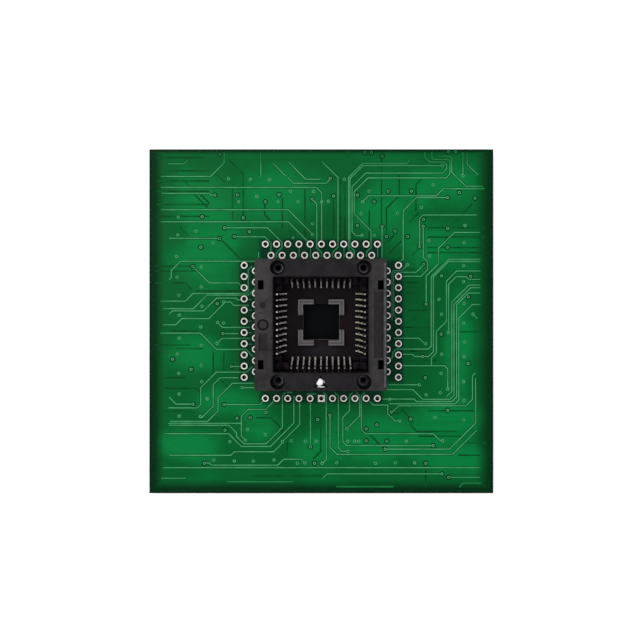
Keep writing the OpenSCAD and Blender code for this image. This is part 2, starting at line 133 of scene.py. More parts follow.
class Graph:
    """A material's node tree, with short ways to add the nodes that the finishes use."""

    def __init__(self, name: str) -> None:
        """Starts a material that has only a Principled shader.

        Args:
            name: Name of the material.
        """
        self.material = bpy.data.materials.new(name)
        self.material.use_nodes = True
        self.nodes = self.material.node_tree.nodes
        self.links = self.material.node_tree.links
        self.shader = self.nodes["Principled BSDF"]
        self.place = self.nodes.new("ShaderNodeTexCoord")
        self.object_point = self.place.outputs["Object"]

    def plug(self, value: object, socket: bpy.types.NodeSocket) -> None:
        """Links an output to a socket, or sets the socket to a constant.

        Args:
            value: Output to link, or the constant.
            socket: Input to feed.
        """
        if isinstance(value, bpy.types.NodeSocket):
            self.links.new(value, socket)
        else:
            socket.default_value = value

    def math(self, operation: str, *values: object) -> bpy.types.NodeSocket:
        """Adds a Math node.

        Args:
            operation: Name of the operation.
            values: Outputs or numbers for its inputs.

        Returns:
            The node's output.
        """
        node = self.nodes.new("ShaderNodeMath")
        node.operation = operation
        for value, socket in zip(values, node.inputs):
            self.plug(value, socket)
        return node.outputs[0]

    def ramp(self, value: object, low: float, high: float, start: float = 0.0,
             end: float = 1.0) -> bpy.types.NodeSocket:
        """Adds a smooth step from start at low to end at high.

        Args:
            value: Output to map.
            low: Value that gives start.
            high: Value that gives end.
            start: Result at low.
            end: Result at high.

        Returns:
            The mapped output.
        """
        node = self.nodes.new("ShaderNodeMapRange")
        node.interpolation_type = "SMOOTHSTEP"
        for socket, number in zip(node.inputs, (value, low, high, start, end)):
            self.plug(number, socket)
        return node.outputs[0]

    def mix(self, share: object, first: object, second: object) -> bpy.types.NodeSocket:
        """Mixes two colours.

        Args:
            share: How much of the second colour is taken.
            first: Colour at a share of 0.
            second: Colour at a share of 1.

        Returns:
            The mixed colour.
        """
        node = self.nodes.new("ShaderNodeMix")
        node.data_type = "RGBA"
        self.plug(share, node.inputs["Factor"])
        for value, socket in ((first, node.inputs[6]), (second, node.inputs[7])):
            self.plug(value, socket)
        return node.outputs[2]

    def tint(self, colour: object, mask: object, strength: float, other: object) -> bpy.types.NodeSocket:
        """Mixes another colour in where a mask is 1.

        Args:
            colour: Colour where the mask is 0.
            mask: Where the other colour goes.
            strength: How much of the other colour is taken there.
            other: The other colour.

        Returns:
            The tinted colour.
        """
        return self.mix(self.math("MULTIPLY", mask, strength), colour, other)

    def noise(self, size: float, detail: float = 2.0,
              stretch: Vector | None = None) -> bpy.types.NodeSocket:
        """Adds a noise whose spots are about size metres across.

        Args:
            size: Size of the spots in metres.
            detail: Levels of finer noise.
            stretch: Scale of the noise along each axis.

        Returns:
            The noise from 0 to 1.
        """
        node = self.nodes.new("ShaderNodeTexNoise")
        node.inputs["Scale"].default_value = 1 / size
        node.inputs["Detail"].default_value = detail
        point = self.object_point
        if stretch is not None:
            mapping = self.nodes.new("ShaderNodeMapping")
            mapping.inputs["Scale"].default_value = stretch
            self.links.new(self.object_point, mapping.inputs["Vector"])
            point = mapping.outputs[0]
        self.links.new(point, node.inputs["Vector"])
        return node.outputs["Fac"]

    def glow(self, x: float, y: float, across: float, along: float) -> bpy.types.NodeSocket:
        """Adds a soft oval spot on the plan.

        Args:
            x: Middle of the spot along X, in metres.
            y: Middle of the spot along Y, in metres.
            across: Half its width along X.
            along: Half its length along Y.

        Returns:
            1 in the middle, falling to 0 at the edge.
        """
        mapping = self.nodes.new("ShaderNodeMapping")
        mapping.vector_type = "TEXTURE"
        mapping.inputs["Location"].default_value = (x, y, 0)
        mapping.inputs["Scale"].default_value = (across, along, 1)
        self.links.new(self.object_point, mapping.inputs["Vector"])
        node = self.nodes.new("ShaderNodeTexGradient")
        node.gradient_type = "SPHERICAL"
        self.links.new(mapping.outputs[0], node.inputs["Vector"])
        return node.outputs["Fac"]

    def ring(self, x: float, y: float, inner: float, outer: float, blur: float) -> bpy.types.NodeSocket:
        """Adds a soft ring on the plan, or a disc where the inner radius is 0.

        Args:
            x: Middle of the ring along X.
            y: Middle of the ring along Y.
            inner: Inner radius.
            outer: Outer radius.
            blur: Half the width that an edge fades over.

        Returns:
            1 on the ring and 0 off it.
        """
        reach = 2 * outer
        near = self.glow(x, y, reach, reach)
        fade = blur / reach
        mask = self.ramp(near, 0.5 - fade, 0.5 + fade)
        if inner > 0:
            hollow = 1 - inner / reach
            mask = self.math("MULTIPLY", mask, self.ramp(near, hollow - fade, hollow + fade, 1.0, 0.0))
        return mask

    def patch(self, x: float, y: float, half_width: float, half_length: float,
              blur: float) -> bpy.types.NodeSocket:
        """Adds a soft rectangle on the plan.

        Args:
            x: Middle of the patch along X.
            y: Middle of the patch along Y.
            half_width: Half its width along X.
            half_length: Half its length along Y.
            blur: Width that an edge fades over.

        Returns:
            1 on the patch and 0 off it.
        """
        along_x, along_y, _ = self.axes()
        masks = []
        for axis, middle, half in ((along_x, x, half_width), (along_y, y, half_length)):
            away = self.math("ABSOLUTE", self.math("SUBTRACT", axis, middle))
            masks.append(self.ramp(away, half - blur / 2, half + blur / 2, 1.0, 0.0))
        return self.math("MULTIPLY", *masks)

    def bump(self, height: object, depth: float, strength: float) -> None:
        """Gives the shader a fine relief.

        Args:
            height: Output that holds the relief from 0 to 1.
            depth: Height of the relief in metres.
            strength: Strength of the relief.
        """
        node = self.nodes.new("ShaderNodeBump")
        node.inputs["Strength"].default_value = strength
        node.inputs["Distance"].default_value = depth
        self.plug(height, node.inputs["Height"])
        self.links.new(node.outputs[0], self.shader.inputs["Normal"])

    def axes(self) -> tuple[bpy.types.NodeSocket, bpy.types.NodeSocket, bpy.types.NodeSocket]:
        """Splits the Object coordinates.

        Returns:
            The places along X, Y and Z.
        """
        node = self.nodes.new("ShaderNodeSeparateXYZ")
        self.links.new(self.object_point, node.inputs[0])
        return node.outputs[0], node.outputs[1], node.outputs[2]

    def facing(self) -> bpy.types.NodeSocket:
        """Reads how far the surface faces up.

        Returns:
            1 where it faces up, 0 on upright walls and -1 where it faces down.
        """
        node = self.nodes.new("ShaderNodeSeparateXYZ")
        self.links.new(self.place.outputs["Normal"], node.inputs[0])
        return node.outputs[2]

    def upright(self, low: float, high: float) -> bpy.types.NodeSocket:
        """Finds the upright walls.

        Args:
            low: Share of facing up or down that still counts as upright.
            high: Share from which a face no longer counts.

        Returns:
            1 on upright walls and 0 on level faces.
        """
        return self.ramp(self.math("ABSOLUTE", self.facing()), low, high, 1.0, 0.0)

    def side(self) -> bpy.types.NodeSocket:
        """Measures how far out a place lies, square by square.

        Returns:
            The larger of the distances from the middle along X and along Y.
        """
        x, y, _ = self.axes()
        return self.math("MAXIMUM", self.math("ABSOLUTE", x), self.math("ABSOLUTE", y))

    def ring_band(self) -> bpy.types.NodeSocket:
        """Finds the band of bare laminate that the rows of holes lie in.

        Returns:
            1 in the band and 0 off it.
        """
        x, y, _ = self.axes()
        reach = self.ramp(self.side(), *BAND_EDGE, 1.0, 0.0)
        across = self.math("MINIMUM", self.math("ABSOLUTE", x), self.math("ABSOLUTE", y))
        return self.math("MULTIPLY", reach, self.ramp(across, *BAND_CORNER, 1.0, 0.0))

    def set(self, **values: object) -> None:
        """Sets inputs of the shader by name, with underscores for spaces."""
        for name, value in values.items():
            self.plug(value, self.shader.inputs[name.replace("_", " ")])


@dataclass(frozen=True)
class MaskFinish:
    """Green solder mask over bare laminate or over copper."""

    name: str
    deep: Colour
    bright: Colour
    # edge is the colour of the painted shade along the rim of the board
    edge: Colour
    ring: Colour
    # under is the colour of the painted shade on the board under the socket
    under: Colour
    laminate: Colour
    border_shade: Colour = tone(4, 12, 6)
    sawn: Colour = tone(70, 82, 44)
    rough: float = 0.42
    # copper areas, which look brighter: middle along X and Y, half width and half length, in millimetres
    copper: tuple[tuple[float, float, float, float], ...] = (
        (-31, -28, 12, 5), (-29, -8, 8, 6), (-27, 12, 9, 8), (-23, 20, 9, 8),
        (28, -22.5, 12, 6), (30, -31, 12, 5), (-2, -29, 8, 6), (-14, -24, 7, 6),
        (31, -5, 4, 16), (27, 17, 12, 8), (-8, 28, 14, 9), (14, 25, 12, 9),
        (29, 31, 11, 8), (-27, 28, 10, 9), (-22, -18, 12, 5), (12, -26, 14, 8),
    )
    # painted shade darkens the rim between these places along X, and along Y, in millimetres
    rim_shade_x: tuple[tuple[float, float], ...] = ((-35.2, -38.0), (34.2, 38.4))
    rim_shade_y: tuple[tuple[float, float], ...] = ((-35.6, -38.2), (37.6, 38.8))
    border_shade_band: tuple[float, float] = (38.5 * MM, 38.85 * MM)
    socket_shade_band: tuple[float, float] = (12.2 * MM, 12.8 * MM)

    def glows(self, graph: Graph, patches: bpy.types.NodeSocket) -> bpy.types.NodeSocket:
        """Adds up the copper areas and the uneven patches.

        Args:
            graph: The material's node tree.
            patches: Noise that breaks the areas up.

        Returns:
            How bright the mask is, from 0 to 1.
        """
        total = 0.0
        for x, y, across, along in self.copper:
            total = graph.math("ADD", total, graph.glow(x * MM, y * MM, across * MM, along * MM))
        total = graph.math("ADD", total, graph.ramp(patches, 0.35, 0.7, -0.12, 0.3))
        return graph.ramp(total, 0.0, 0.85)

    def rim(self, graph: Graph) -> bpy.types.NodeSocket:
        """Finds the rim of the board, where shade is painted.

        Args:
            graph: The material's node tree.

        Returns:
            1 at the rim and 0 off it.
        """
        x, y, _ = graph.axes()
        dark = 0.0
        for axis, bands in ((x, self.rim_shade_x), (y, self.rim_shade_y)):
            for start, full in bands:
                dark = graph.math("MAXIMUM", dark, graph.ramp(axis, start * MM, full * MM))
        return dark

    def material(self) -> bpy.types.Material:
        """Builds the mask with its copper areas, painted shade along the rim and under the socket, and the
        laminate edge.

        Returns:
            The material.
        """
        graph = Graph(self.name)
        side = graph.side()
        patches = graph.noise(11 * MM, 3.0)
        colour = graph.mix(self.glows(graph, patches), self.deep, self.bright)
        streak = graph.noise(5 * MM, 2.0, Vector((0.3, 3.0, 1.0)))
        colour = graph.mix(graph.ramp(streak, 0.5, 0.75, 0.0, 0.3), colour, self.deep)
        colour = graph.tint(colour, graph.ring_band(), 0.9, self.ring)
        # painted shade: the board darkens towards its rim
        colour = graph.tint(colour, self.rim(graph), 0.95, self.edge)
        # painted shade: a near-black line along the outer edge of the top face
        colour = graph.mix(graph.ramp(side, *self.border_shade_band, 0.0, 0.85), colour, self.border_shade)
        grain = graph.noise(0.35 * MM, 3.0)
        colour = graph.mix(graph.ramp(grain, 0.35, 0.75, 0.0, 0.16), colour, self.deep)
        # painted shade: the board under the socket is darkened
        colour = graph.mix(graph.ramp(side, *self.socket_shade_band, 1.0, 0.0), colour, self.under)
        layers = graph.noise(0.5 * MM, 3.0, Vector((0.2, 0.2, 3.0)))
        colour = graph.mix(graph.upright(0.4, 0.6), colour, graph.mix(layers, self.laminate, self.sawn))
        graph.set(Base_Color=colour, Specular_IOR_Level=0.05)
        graph.set(Roughness=graph.ramp(patches, 0.3, 0.7, self.rough - 0.06, self.rough + 0.1))
        graph.bump(graph.noise(1.2 * MM, 3.0), 0.02 * MM, 0.35)
        return graph.material


@dataclass(frozen=True)
class TrackFinish:
    """Mask over the raised copper of a track or a via."""

    name: str
    light: Colour
    dull: Colour
    over_laminate: Colour = tone(52, 116, 88)
    rim_shade_band: tuple[float, float] = (33 * MM, 37.5 * MM)
    rough: float = 0.38

    def material(self) -> bpy.types.Material:
        """Builds the mask, which painted shade dims towards the rim of the board.

        Returns:
            The material.
        """
        graph = Graph(self.name)
        wear_and_highlight = graph.ramp(graph.noise(2.5 * MM, 3.0), 0.35, 0.7, 0.0, 0.45)
        # painted shade dims the tracks towards the rim, on top of their uneven tone
        fade = graph.math("MAXIMUM", wear_and_highlight, graph.ramp(graph.side(), *self.rim_shade_band))
        colour = graph.mix(fade, self.light, self.dull)
        colour = graph.tint(colour, graph.ring_band(), 0.8, self.over_laminate)
        graph.set(Base_Color=colour, Specular_IOR_Level=0.06)
        graph.set(Roughness=graph.ramp(graph.noise(0.8 * MM), 0.3, 0.7, self.rough, self.rough + 0.15))
        graph.bump(graph.noise(0.4 * MM), 0.01 * MM, 0.3)
        return graph.material


@dataclass(frozen=True)
class ShadeFinish:
    """Flat darker mask, where copper on the other face or bare laminate shows through."""

    name: str
    dark: Colour
    pale: Colour

    def material(self) -> bpy.types.Material:
        """Builds the mask with an uneven depth of colour.

        Returns:
            The material.
        """
        graph = Graph(self.name)
        uneven = graph.ramp(graph.noise(3.5 * MM, 3.0), 0.35, 0.7)
        graph.set(Base_Color=graph.mix(uneven, self.dark, self.pale), Specular_IOR_Level=0.05)
        graph.set(Roughness=graph.ramp(graph.noise(1 * MM), 0.3, 0.7, 0.4, 0.55))
        return graph.material


@dataclass(frozen=True)
class MetalFinish:
    """Plated or bare metal with a mottled tarnish."""

    name: str
    bright: Colour
    dull: Colour
    metallic: float
    rough: float
    spot: float = 0.6 * MM

    def material(self) -> bpy.types.Material:
        """Builds the metal with uneven colour, gloss and a fine relief.

        Returns:
            The material.
        """
        graph = Graph(self.name)
        tarnish = graph.ramp(graph.noise(self.spot, 4.0), 0.38, 0.68)
        graph.set(Base_Color=graph.mix(tarnish, self.bright, self.dull), Metallic=self.metallic)
        graph.set(Roughness=graph.math("ADD", self.rough, graph.math("MULTIPLY", tarnish, 0.14)))
        graph.bump(graph.noise(self.spot / 3, 3.0), 0.015 * MM, 0.4)
        return graph.material


@dataclass(frozen=True)
class PadFinish:
    """Tinned pad, bright on its flat rim, with painted shade down the plated hole."""

    name: str
    bright: Colour
    dull: Colour
    barrel_shade: Colour
    rough: float = 0.42
    metallic: float = 0.2
    gloss: float = 0.5

    def material(self) -> bpy.types.Material:
        """Builds the tin, with painted shade on upright walls, which also lose their metal and specular.

        Returns:
            The material.
        """
        graph = Graph(self.name)
        tarnish = graph.ramp(graph.noise(0.6 * MM, 4.0), 0.38, 0.68)
        colour = graph.mix(tarnish, self.bright, self.dull)
        # painted shade: the walls of the plated hole are darkened and lose their reflection
        upright = graph.upright(0.3, 0.7)
        flat = graph.math("SUBTRACT", 1.0, upright)
        graph.set(Base_Color=graph.mix(upright, colour, self.barrel_shade))
        graph.set(Metallic=graph.math("MULTIPLY", flat, self.metallic))
        graph.set(Specular_IOR_Level=graph.math("MULTIPLY", flat, self.gloss))
        graph.set(Roughness=graph.math("ADD", self.rough, graph.math("MULTIPLY", tarnish, 0.14)))
        graph.bump(graph.noise(0.2 * MM, 3.0), 0.01 * MM, 0.3)
        return graph.material


@dataclass(frozen=True)
class ContactFinish:
    """Contact strip with bright edges facing up, painted shade on its upright flats and on the legs under
    the cover, and a mottled tarnish.
    """

    name: str
    edge: Colour
    crown_light: Colour
    # dull is the colour of the painted shade on upright faces and legs, and of the tarnish
    dull: Colour = tone(22, 18, 16)
    crown_light_start: float = 13.1 * MM
    crown_light_fade: float = 0.3 * MM
    leg_shade_start: float = 9.6 * MM
    leg_shade_fade: float = 0.15 * MM
    metallic: float = 0.3
    rough: float = 0.4

    def material(self) -> bpy.types.Material:
        """Builds the metal: faces that face up keep its bright colour and the arm tops get painted light;
        upright faces and legs get painted shade.

        Returns:
            The material.
        """
        graph = Graph(self.name)
        _, _, z = graph.axes()
        mottle = graph.ramp(graph.noise(0.9 * MM, 3.0), 0.42, 0.66, 0.0, 0.7)
        # painted light: the arm tops above this height take a colour that is lit or shaded differently on
        # each side
        crown_light = graph.ramp(z, self.crown_light_start - self.crown_light_fade, self.crown_light_start)
        colour = graph.mix(crown_light, self.edge, self.crown_light)
        # painted shade on the legs under the cover and on the upright faces, on top of the mottled tarnish
        legs = graph.ramp(graph.side(), self.leg_shade_start, self.leg_shade_start + self.leg_shade_fade)
        tarnish = graph.math("MAXIMUM", graph.math("MAXIMUM", graph.upright(0.08, 0.22), legs), mottle)
        graph.set(Base_Color=graph.tint(colour, tarnish, 0.95, self.dull))
        graph.set(Metallic=self.metallic)
        graph.set(Roughness=graph.math("ADD", self.rough, graph.math("MULTIPLY", tarnish, 0.2)))
        graph.bump(graph.noise(0.2 * MM, 2.0), 0.01 * MM, 0.3)
        return graph.material


@dataclass(frozen=True)
class MouldedFinish:
    """Glass-filled moulded plastic, mottled and a little dusty."""

    name: str
    body: Colour
    dust: Colour
    dark: Colour
    gloss: float = 0.1
    rough: float = 0.5

    def details(self, graph: Graph, colour: bpy.types.NodeSocket) -> bpy.types.NodeSocket:
        """Adds what one moulding alone shows, which is nothing here.

        Args:
            graph: The material's node tree.
            colour: The plain plastic's colour.

        Returns:
            The colour with the details.
        """
        return colour

    def material(self) -> bpy.types.Material:
        """Builds the plastic with cloudy patches and specks.

        Returns:
            The material.
        """
        graph = Graph(self.name)
        cloud = graph.ramp(graph.noise(3.2 * MM, 4.0), 0.3, 0.75)
        colour = graph.tint(self.body, cloud, 0.25, self.dust)
        colour = self.details(graph, colour)
        speck = graph.ramp(graph.noise(0.45 * MM, 2.0), 0.58, 0.72, 0.0, 0.5)
        colour = graph.mix(speck, colour, self.dark)
        fleck = graph.ramp(graph.noise(0.22 * MM, 1.0), 0.68, 0.8, 0.0, 0.35)
        colour = graph.mix(fleck, colour, self.dust)
        graph.set(Base_Color=colour, Specular_IOR_Level=self.gloss)
        graph.set(Roughness=graph.math("ADD", self.rough, graph.math("MULTIPLY", cloud, 0.16)))
        graph.bump(graph.noise(0.3 * MM, 3.0), 0.03 * MM, 0.45)
        return graph.material


@dataclass(frozen=True)
class CoverFinish(MouldedFinish):
    """Cover plastic with dusty side beams, painted shade in its recesses and a painted highlight along the
    outer edge on the right.
    """

    top: float = CAD_BOX[1].z
    beam_band: tuple[float, float] = (8.8 * MM, 11.2 * MM)
    left_band: tuple[float, float] = (-0.5 * MM, 0.5 * MM)
    upper_band: tuple[float, float] = (-6 * MM, 1 * MM)
    ejector_mark: tuple[float, float, float, float] = (-12.15 * MM, 0.0, 0.84 * MM, 1.18 * MM)
    gate_mark: tuple[float, float, float, float] = (-12.15 * MM, 4.1 * MM, 0.0, 0.55 * MM)
    left_label: tuple[float, float, float, float] = (-12.05 * MM, -3.6 * MM, 0.9 * MM, 1.8 * MM)
    right_label: tuple[float, float, float, float] = (12.1 * MM, 0.0, 0.9 * MM, 6.9 * MM)
    edge_highlight: tuple[float, float, float, float] = (13.5 * MM, 0.0, 0.16 * MM, 13 * MM)
    wall_band: tuple[float, float] = (13.7 * MM, 13.8 * MM)
    recess_shade_from: float = 0.42 * MM
    recess_shade_to: float = 0.02 * MM
    label_tone: Colour = tone(34, 29, 34)
    highlight_tone: Colour = tone(104, 104, 104)
    recess_shade_tone: Colour = tone(2, 2, 2)

    def dusted(self, graph: Graph, colour: bpy.types.NodeSocket) -> bpy.types.NodeSocket:
        """Adds the dust on the side beams, and lightens the left one towards its upper end.

        Args:
            graph: The material's node tree.
            colour: The plain plastic's colour.

        Returns:
            The dusty colour.
        """
        x, y, _ = graph.axes()
        beams = graph.ramp(graph.math("ABSOLUTE", x), *self.beam_band)
        left = graph.ramp(x, *self.left_band, 1.0, 0.0)
        upper = graph.ramp(y, *self.upper_band, -0.12, 0.24)
        thick = graph.math("ADD", 0.55, graph.math("MULTIPLY", left, upper))
        blotch = graph.ramp(graph.noise(1.5 * MM, 4.0), 0.35, 0.7, 0.12, -0.22)
        mask = graph.math("MULTIPLY", beams, graph.math("ADD", thick, blotch))
        return graph.mix(mask, colour, self.dust)

    def details(self, graph: Graph, colour: bpy.types.NodeSocket) -> bpy.types.NodeSocket:
        """Adds the dust, the marks, the label fields with a painted shadow along their outer edges, the
        painted highlight on the right edge and the painted shade in the recesses.

        Args:
            graph: The material's node tree.
            colour: The plain plastic's colour.

        Returns:
            The colour with the details.
        """
        colour = self.dusted(graph, colour)
        for label, side in ((self.left_label, -1), (self.right_label, 1)):
            x, y, half_width, half_length = label
            colour = graph.tint(colour, graph.patch(*label, 0.25 * MM), 0.55, self.label_tone)
            shadow = graph.patch(x + side * half_width * 0.9, y, 0.12 * MM, half_length, 0.2 * MM)
            colour = graph.tint(colour, shadow, 0.6, self.dark)
        # painted shade in the ring of the round ejector mark
        colour = graph.tint(colour, graph.ring(*self.ejector_mark, 0.14 * MM), 0.95, self.recess_shade_tone)
        colour = graph.tint(colour, graph.ring(*self.gate_mark, 0.25 * MM), 0.6, self.dark)
        # painted highlight: the top of the outer edge on the right is lightened, unevenly
        edge = graph.patch(*self.edge_highlight, 0.2 * MM)
        edge = graph.math("MULTIPLY", edge, graph.ramp(graph.facing(), 0.3, 0.8))
        highlight_share = graph.ramp(graph.noise(1.1 * MM, 3.0), 0.3, 0.7, 0.35, 0.95)
        colour = graph.mix(graph.math("MULTIPLY", edge, highlight_share), colour, self.highlight_tone)
        # painted shade: recesses are darkened, but not the outer walls
        sunk = graph.ramp(graph.axes()[2], self.top - self.recess_shade_from, self.top - self.recess_shade_to, 0.9, 0.0)
        inner = graph.ramp(graph.side(), *self.wall_band, 1.0, 0.0)
        return graph.mix(graph.math("MULTIPLY", sunk, inner), colour, self.recess_shade_tone)


@dataclass(frozen=True)
class BaseFinish(MouldedFinish):
    """Base plastic with painted highlights on the rims of the guide posts, painted light in their bores and
    on the upper guides, and a paler patch on the floor.
    """

    post: tuple[float, float] = (9.1 * MM, 12.0 * MM)
    post_bore: float = 0.8 * MM
    post_rim: tuple[float, float] = (0.86 * MM, 1.12 * MM)
    post_top: float = 13.6 * MM
    guide_top: float = 11.5 * MM
    floor_patch: tuple[float, float, float, float] = (0.5 * MM, -6.3 * MM, 6 * MM, 2.2 * MM)
    rim_highlight_tone: Colour = tone(112, 110, 116)
    guide_light_tone: Colour = tone(30, 25, 32)
    floor_tone: Colour = tone(46, 40, 46)
    bore_light_tone: Colour = tone(72, 68, 73)

    def details(self, graph: Graph, colour: bpy.types.NodeSocket) -> bpy.types.NodeSocket:
        """Adds the painted highlights on the rims of the posts, the painted light in their bores and on the
        upper guides, and the paler patch on the floor.

        Args:
            graph: The material's node tree.
            colour: The plain plastic's colour.

        Returns:
            The colour with the details.
        """
        z = graph.axes()[2]
        # painted light: the base turns paler higher up, from below the tops of the guides
        guides = graph.ramp(z, self.guide_top - 1.2 * MM, self.guide_top - 0.2 * MM, 0.0, 0.8)
        colour = graph.mix(guides, colour, self.guide_light_tone)
        # a paler patch on the floor of the pocket
        colour = graph.tint(colour, graph.glow(*self.floor_patch), 0.7, self.floor_tone)
        high = graph.ramp(z, self.post_top - 0.4 * MM, self.post_top - 0.2 * MM)
        for side_x, side_y in product((-1, 1), repeat=2):
            place = (side_x * self.post[0], side_y * self.post[1])
            # painted light in the bore of each post, so that the hollow does not look as dark as its depth
            # makes it
            bore = graph.ring(*place, 0.0, self.post_bore, 0.05 * MM)
            colour = graph.tint(colour, bore, 0.9, self.bore_light_tone)
            # painted highlight on the rim of each post, strongest on one side
            rim = graph.math("MULTIPLY", graph.ring(*place, *self.post_rim, 0.05 * MM), high)
            wear_and_highlight = graph.math("MULTIPLY", rim, self.highlight_share(graph, place))
            colour = graph.mix(wear_and_highlight, colour, self.rim_highlight_tone)
        return colour

    def highlight_share(self, graph: Graph, place: tuple[float, float]) -> bpy.types.NodeSocket:
        """Grades the painted highlight on a post's rim: most on the side that faces the mouth, and at +Y
        also below.

        Args:
            graph: The material's node tree.
            place: Middle of the post.

        Returns:
            The share of the highlight, from nearly 0 to nearly 1.
        """
        x, y, _ = graph.axes()
        lead = graph.math("MULTIPLY", graph.math("SUBTRACT", x, place[0]), -math.copysign(1.0, place[0]))
        if place[1] > 0:
            lead = graph.math("SUBTRACT", lead, graph.math("SUBTRACT", y, place[1]))
        return graph.ramp(lead, -0.9 * MM, 0.9 * MM, 0.12, 0.9)


@dataclass(frozen=True)
class SeatFinish(MouldedFinish):
    """Seat plastic with painted highlights along the edges and a duller line along the middle of each pad.
    """

    pad_middle: float = 4.55 * MM
    pad_half: float = 0.5 * MM
    # pale is the colour of the painted highlight along the edges of each pad
    pale: Colour = tone(122, 116, 119)
    line: Colour = tone(78, 74, 77)

    def details(self, graph: Graph, colour: bpy.types.NodeSocket) -> bpy.types.NodeSocket:
        """Adds the painted highlights along the edges, and the line.

        Args:
            graph: The material's node tree.
            colour: The plain plastic's colour.

        Returns:
            The colour with the details.
        """
        away = graph.math("ABSOLUTE", graph.math("SUBTRACT", graph.side(), self.pad_middle))
        # painted highlight along both edges of each pad, uneven along its length
        edges = graph.ramp(away, 0.4 * self.pad_half, 0.75 * self.pad_half, 0.0, 0.85)
        wear_and_highlight = graph.math("MULTIPLY", edges, graph.ramp(graph.noise(1.4 * MM, 3.0), 0.3, 0.6, 0.4, 1.0))
        colour = graph.mix(wear_and_highlight, colour, self.pale)
        line = graph.ramp(away, 0.1 * self.pad_half, 0.5 * self.pad_half, 0.7, 0.0)
        return graph.mix(line, colour, self.line)


@dataclass(frozen=True)
class PaintFinish:
    """White marking paint, thick and a little uneven."""

    name: str
    colour: Colour
    shade: Colour

    def material(self) -> bpy.types.Material:
        """Builds the paint.

        Returns:
            The material.
        """
        graph = Graph(self.name)
        thin = graph.ramp(graph.noise(0.5 * MM, 3.0), 0.4, 0.8)
        graph.set(Base_Color=graph.mix(thin, self.colour, self.shade), Roughness=0.45)
        graph.bump(graph.noise(0.35 * MM, 2.0), 0.05 * MM, 0.5)
        return graph.material


@dataclass(frozen=True)
class FloorFinish:
    """White floor that keeps the shadow, and glows only outside the board."""

    name: str
    half_board: float
    margin: float = 0.6 * MM
    shine: float = 0.55
    pale: Colour = tone(214, 214, 214)
    paler: Colour = tone(222, 222, 222)

    def material(self) -> bpy.types.Material:
        """Builds the floor.

        Returns:
            The material.
        """
        graph = Graph(self.name)
        outside = graph.ramp(graph.side(), self.half_board - self.margin, self.half_board)
        path = graph.nodes.new("ShaderNodeLightPath")
        seen = graph.math("MAXIMUM", path.outputs["Is Camera Ray"], path.outputs["Is Glossy Ray"])
        seen = graph.math("MAXIMUM", seen, path.outputs["Is Transmission Ray"])
        graph.set(Base_Color=graph.mix(graph.noise(40 * MM), self.pale, self.paler))
        graph.set(Roughness=0.9, Specular_IOR_Level=0.0, Emission_Color=(1.0, 1.0, 1.0, 1.0))
        shown = graph.math("MULTIPLY", seen, outside)
        graph.set(Emission_Strength=graph.math("MULTIPLY", shown, self.shine))
        return graph.material


@dataclass(frozen=True)
class Route:
    """A track: where it starts and the legs that it runs, in millimetres."""

    x: float
    y: float
    legs: str

    def points(self, offset: tuple[float, float]) -> list[Vector]:
        """Walks the legs. A diagonal leg's length is its run along X.

        Args:
            offset: How far the artwork lies off the middle of the board, in millimetres.

        Returns:
            The corners of the track in metres.
        """
        found = [Vector((self.x + offset[0], self.y + offset[1], 0.0))]
        for leg in self.legs.split():
            name = leg.rstrip("0123456789.")
            step = Vector((*Heading[name].value, 0.0))
            found.append(found[-1] + step * float(leg[len(name):]))
        return [point * MM for point in found]


def add_object(name: str, mesh: bmesh.types.BMesh, finish: bpy.types.Material) -> bpy.types.Object:
    """Turns a bmesh into an object of the scene.

    Args:
        name: Name of the object.
        mesh: Its shape in metres, in the part's own frame.
        finish: Its material.

    Returns:
        The object.
    """
    data = bpy.data.meshes.new(name)
    mesh.to_mesh(data)
    mesh.free()
    data.materials.append(finish)
    item = bpy.data.objects.new(name, data)
    bpy.context.scene.collection.objects.link(item)
    LOG.info("%s: %d faces", name, len(data.polygons))
    return item


def new_piece(name: str, mesh: bmesh.types.BMesh, finish: bpy.types.Material,
              smooth: bool = False) -> bpy.types.Object:
    """Turns a bmesh into a finished piece, whose faces point outwards.

    Args:
        name: Name of the piece.
        mesh: Its shape in metres, in the part's own frame.
        finish: Its material.
        smooth: Whether its faces are shaded as round ones.

    Returns:
        The piece.
    """
    bmesh.ops.recalc_face_normals(mesh, faces=mesh.faces)
    for face in mesh.faces:
        face.smooth = smooth
    piece = add_object(name, mesh, finish)
    return piece


def dress(node: str, finish: bpy.types.Material) -> None:
    """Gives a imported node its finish.

    Args:
        node: Name of the node.
        finish: Its material.
    """
    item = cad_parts[node]
    item.data.materials.clear()
    item.data.materials.append(finish)
    LOG.info("%s dressed", node)


def soften(node: str, width: float) -> None:
    """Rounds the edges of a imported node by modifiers.

    Args:
        node: Name of the node.
        width: Width of the rounding in metres.
    """
    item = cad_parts[node]
    weld = item.modifiers.new("weld", "WELD")
    weld.merge_threshold = WELD_GAP
    bevel = item.modifiers.new("rounded_edges", "BEVEL")
    bevel.width = width
    bevel.segments = 2
    bevel.limit_method = "ANGLE"
    bevel.angle_limit = SHARP_ANGLE
    bevel.harden_normals = False


def raise_faces(mesh: bmesh.types.BMesh, faces: list[bmesh.types.BMFace], height: float) -> None:
    """Turns level faces into closed solids.

    Args:
        mesh: The bmesh that holds them.
        faces: The faces, which become the undersides.
        height: Height of the solids.
    """
    raised = bmesh.ops.extrude_face_region(mesh, geom=faces, use_keep_orig=True)["geom"]
    verts = [item for item in raised if isinstance(item, bmesh.types.BMVert)]
    bmesh.ops.translate(mesh, verts=verts, vec=(0.0, 0.0, height))


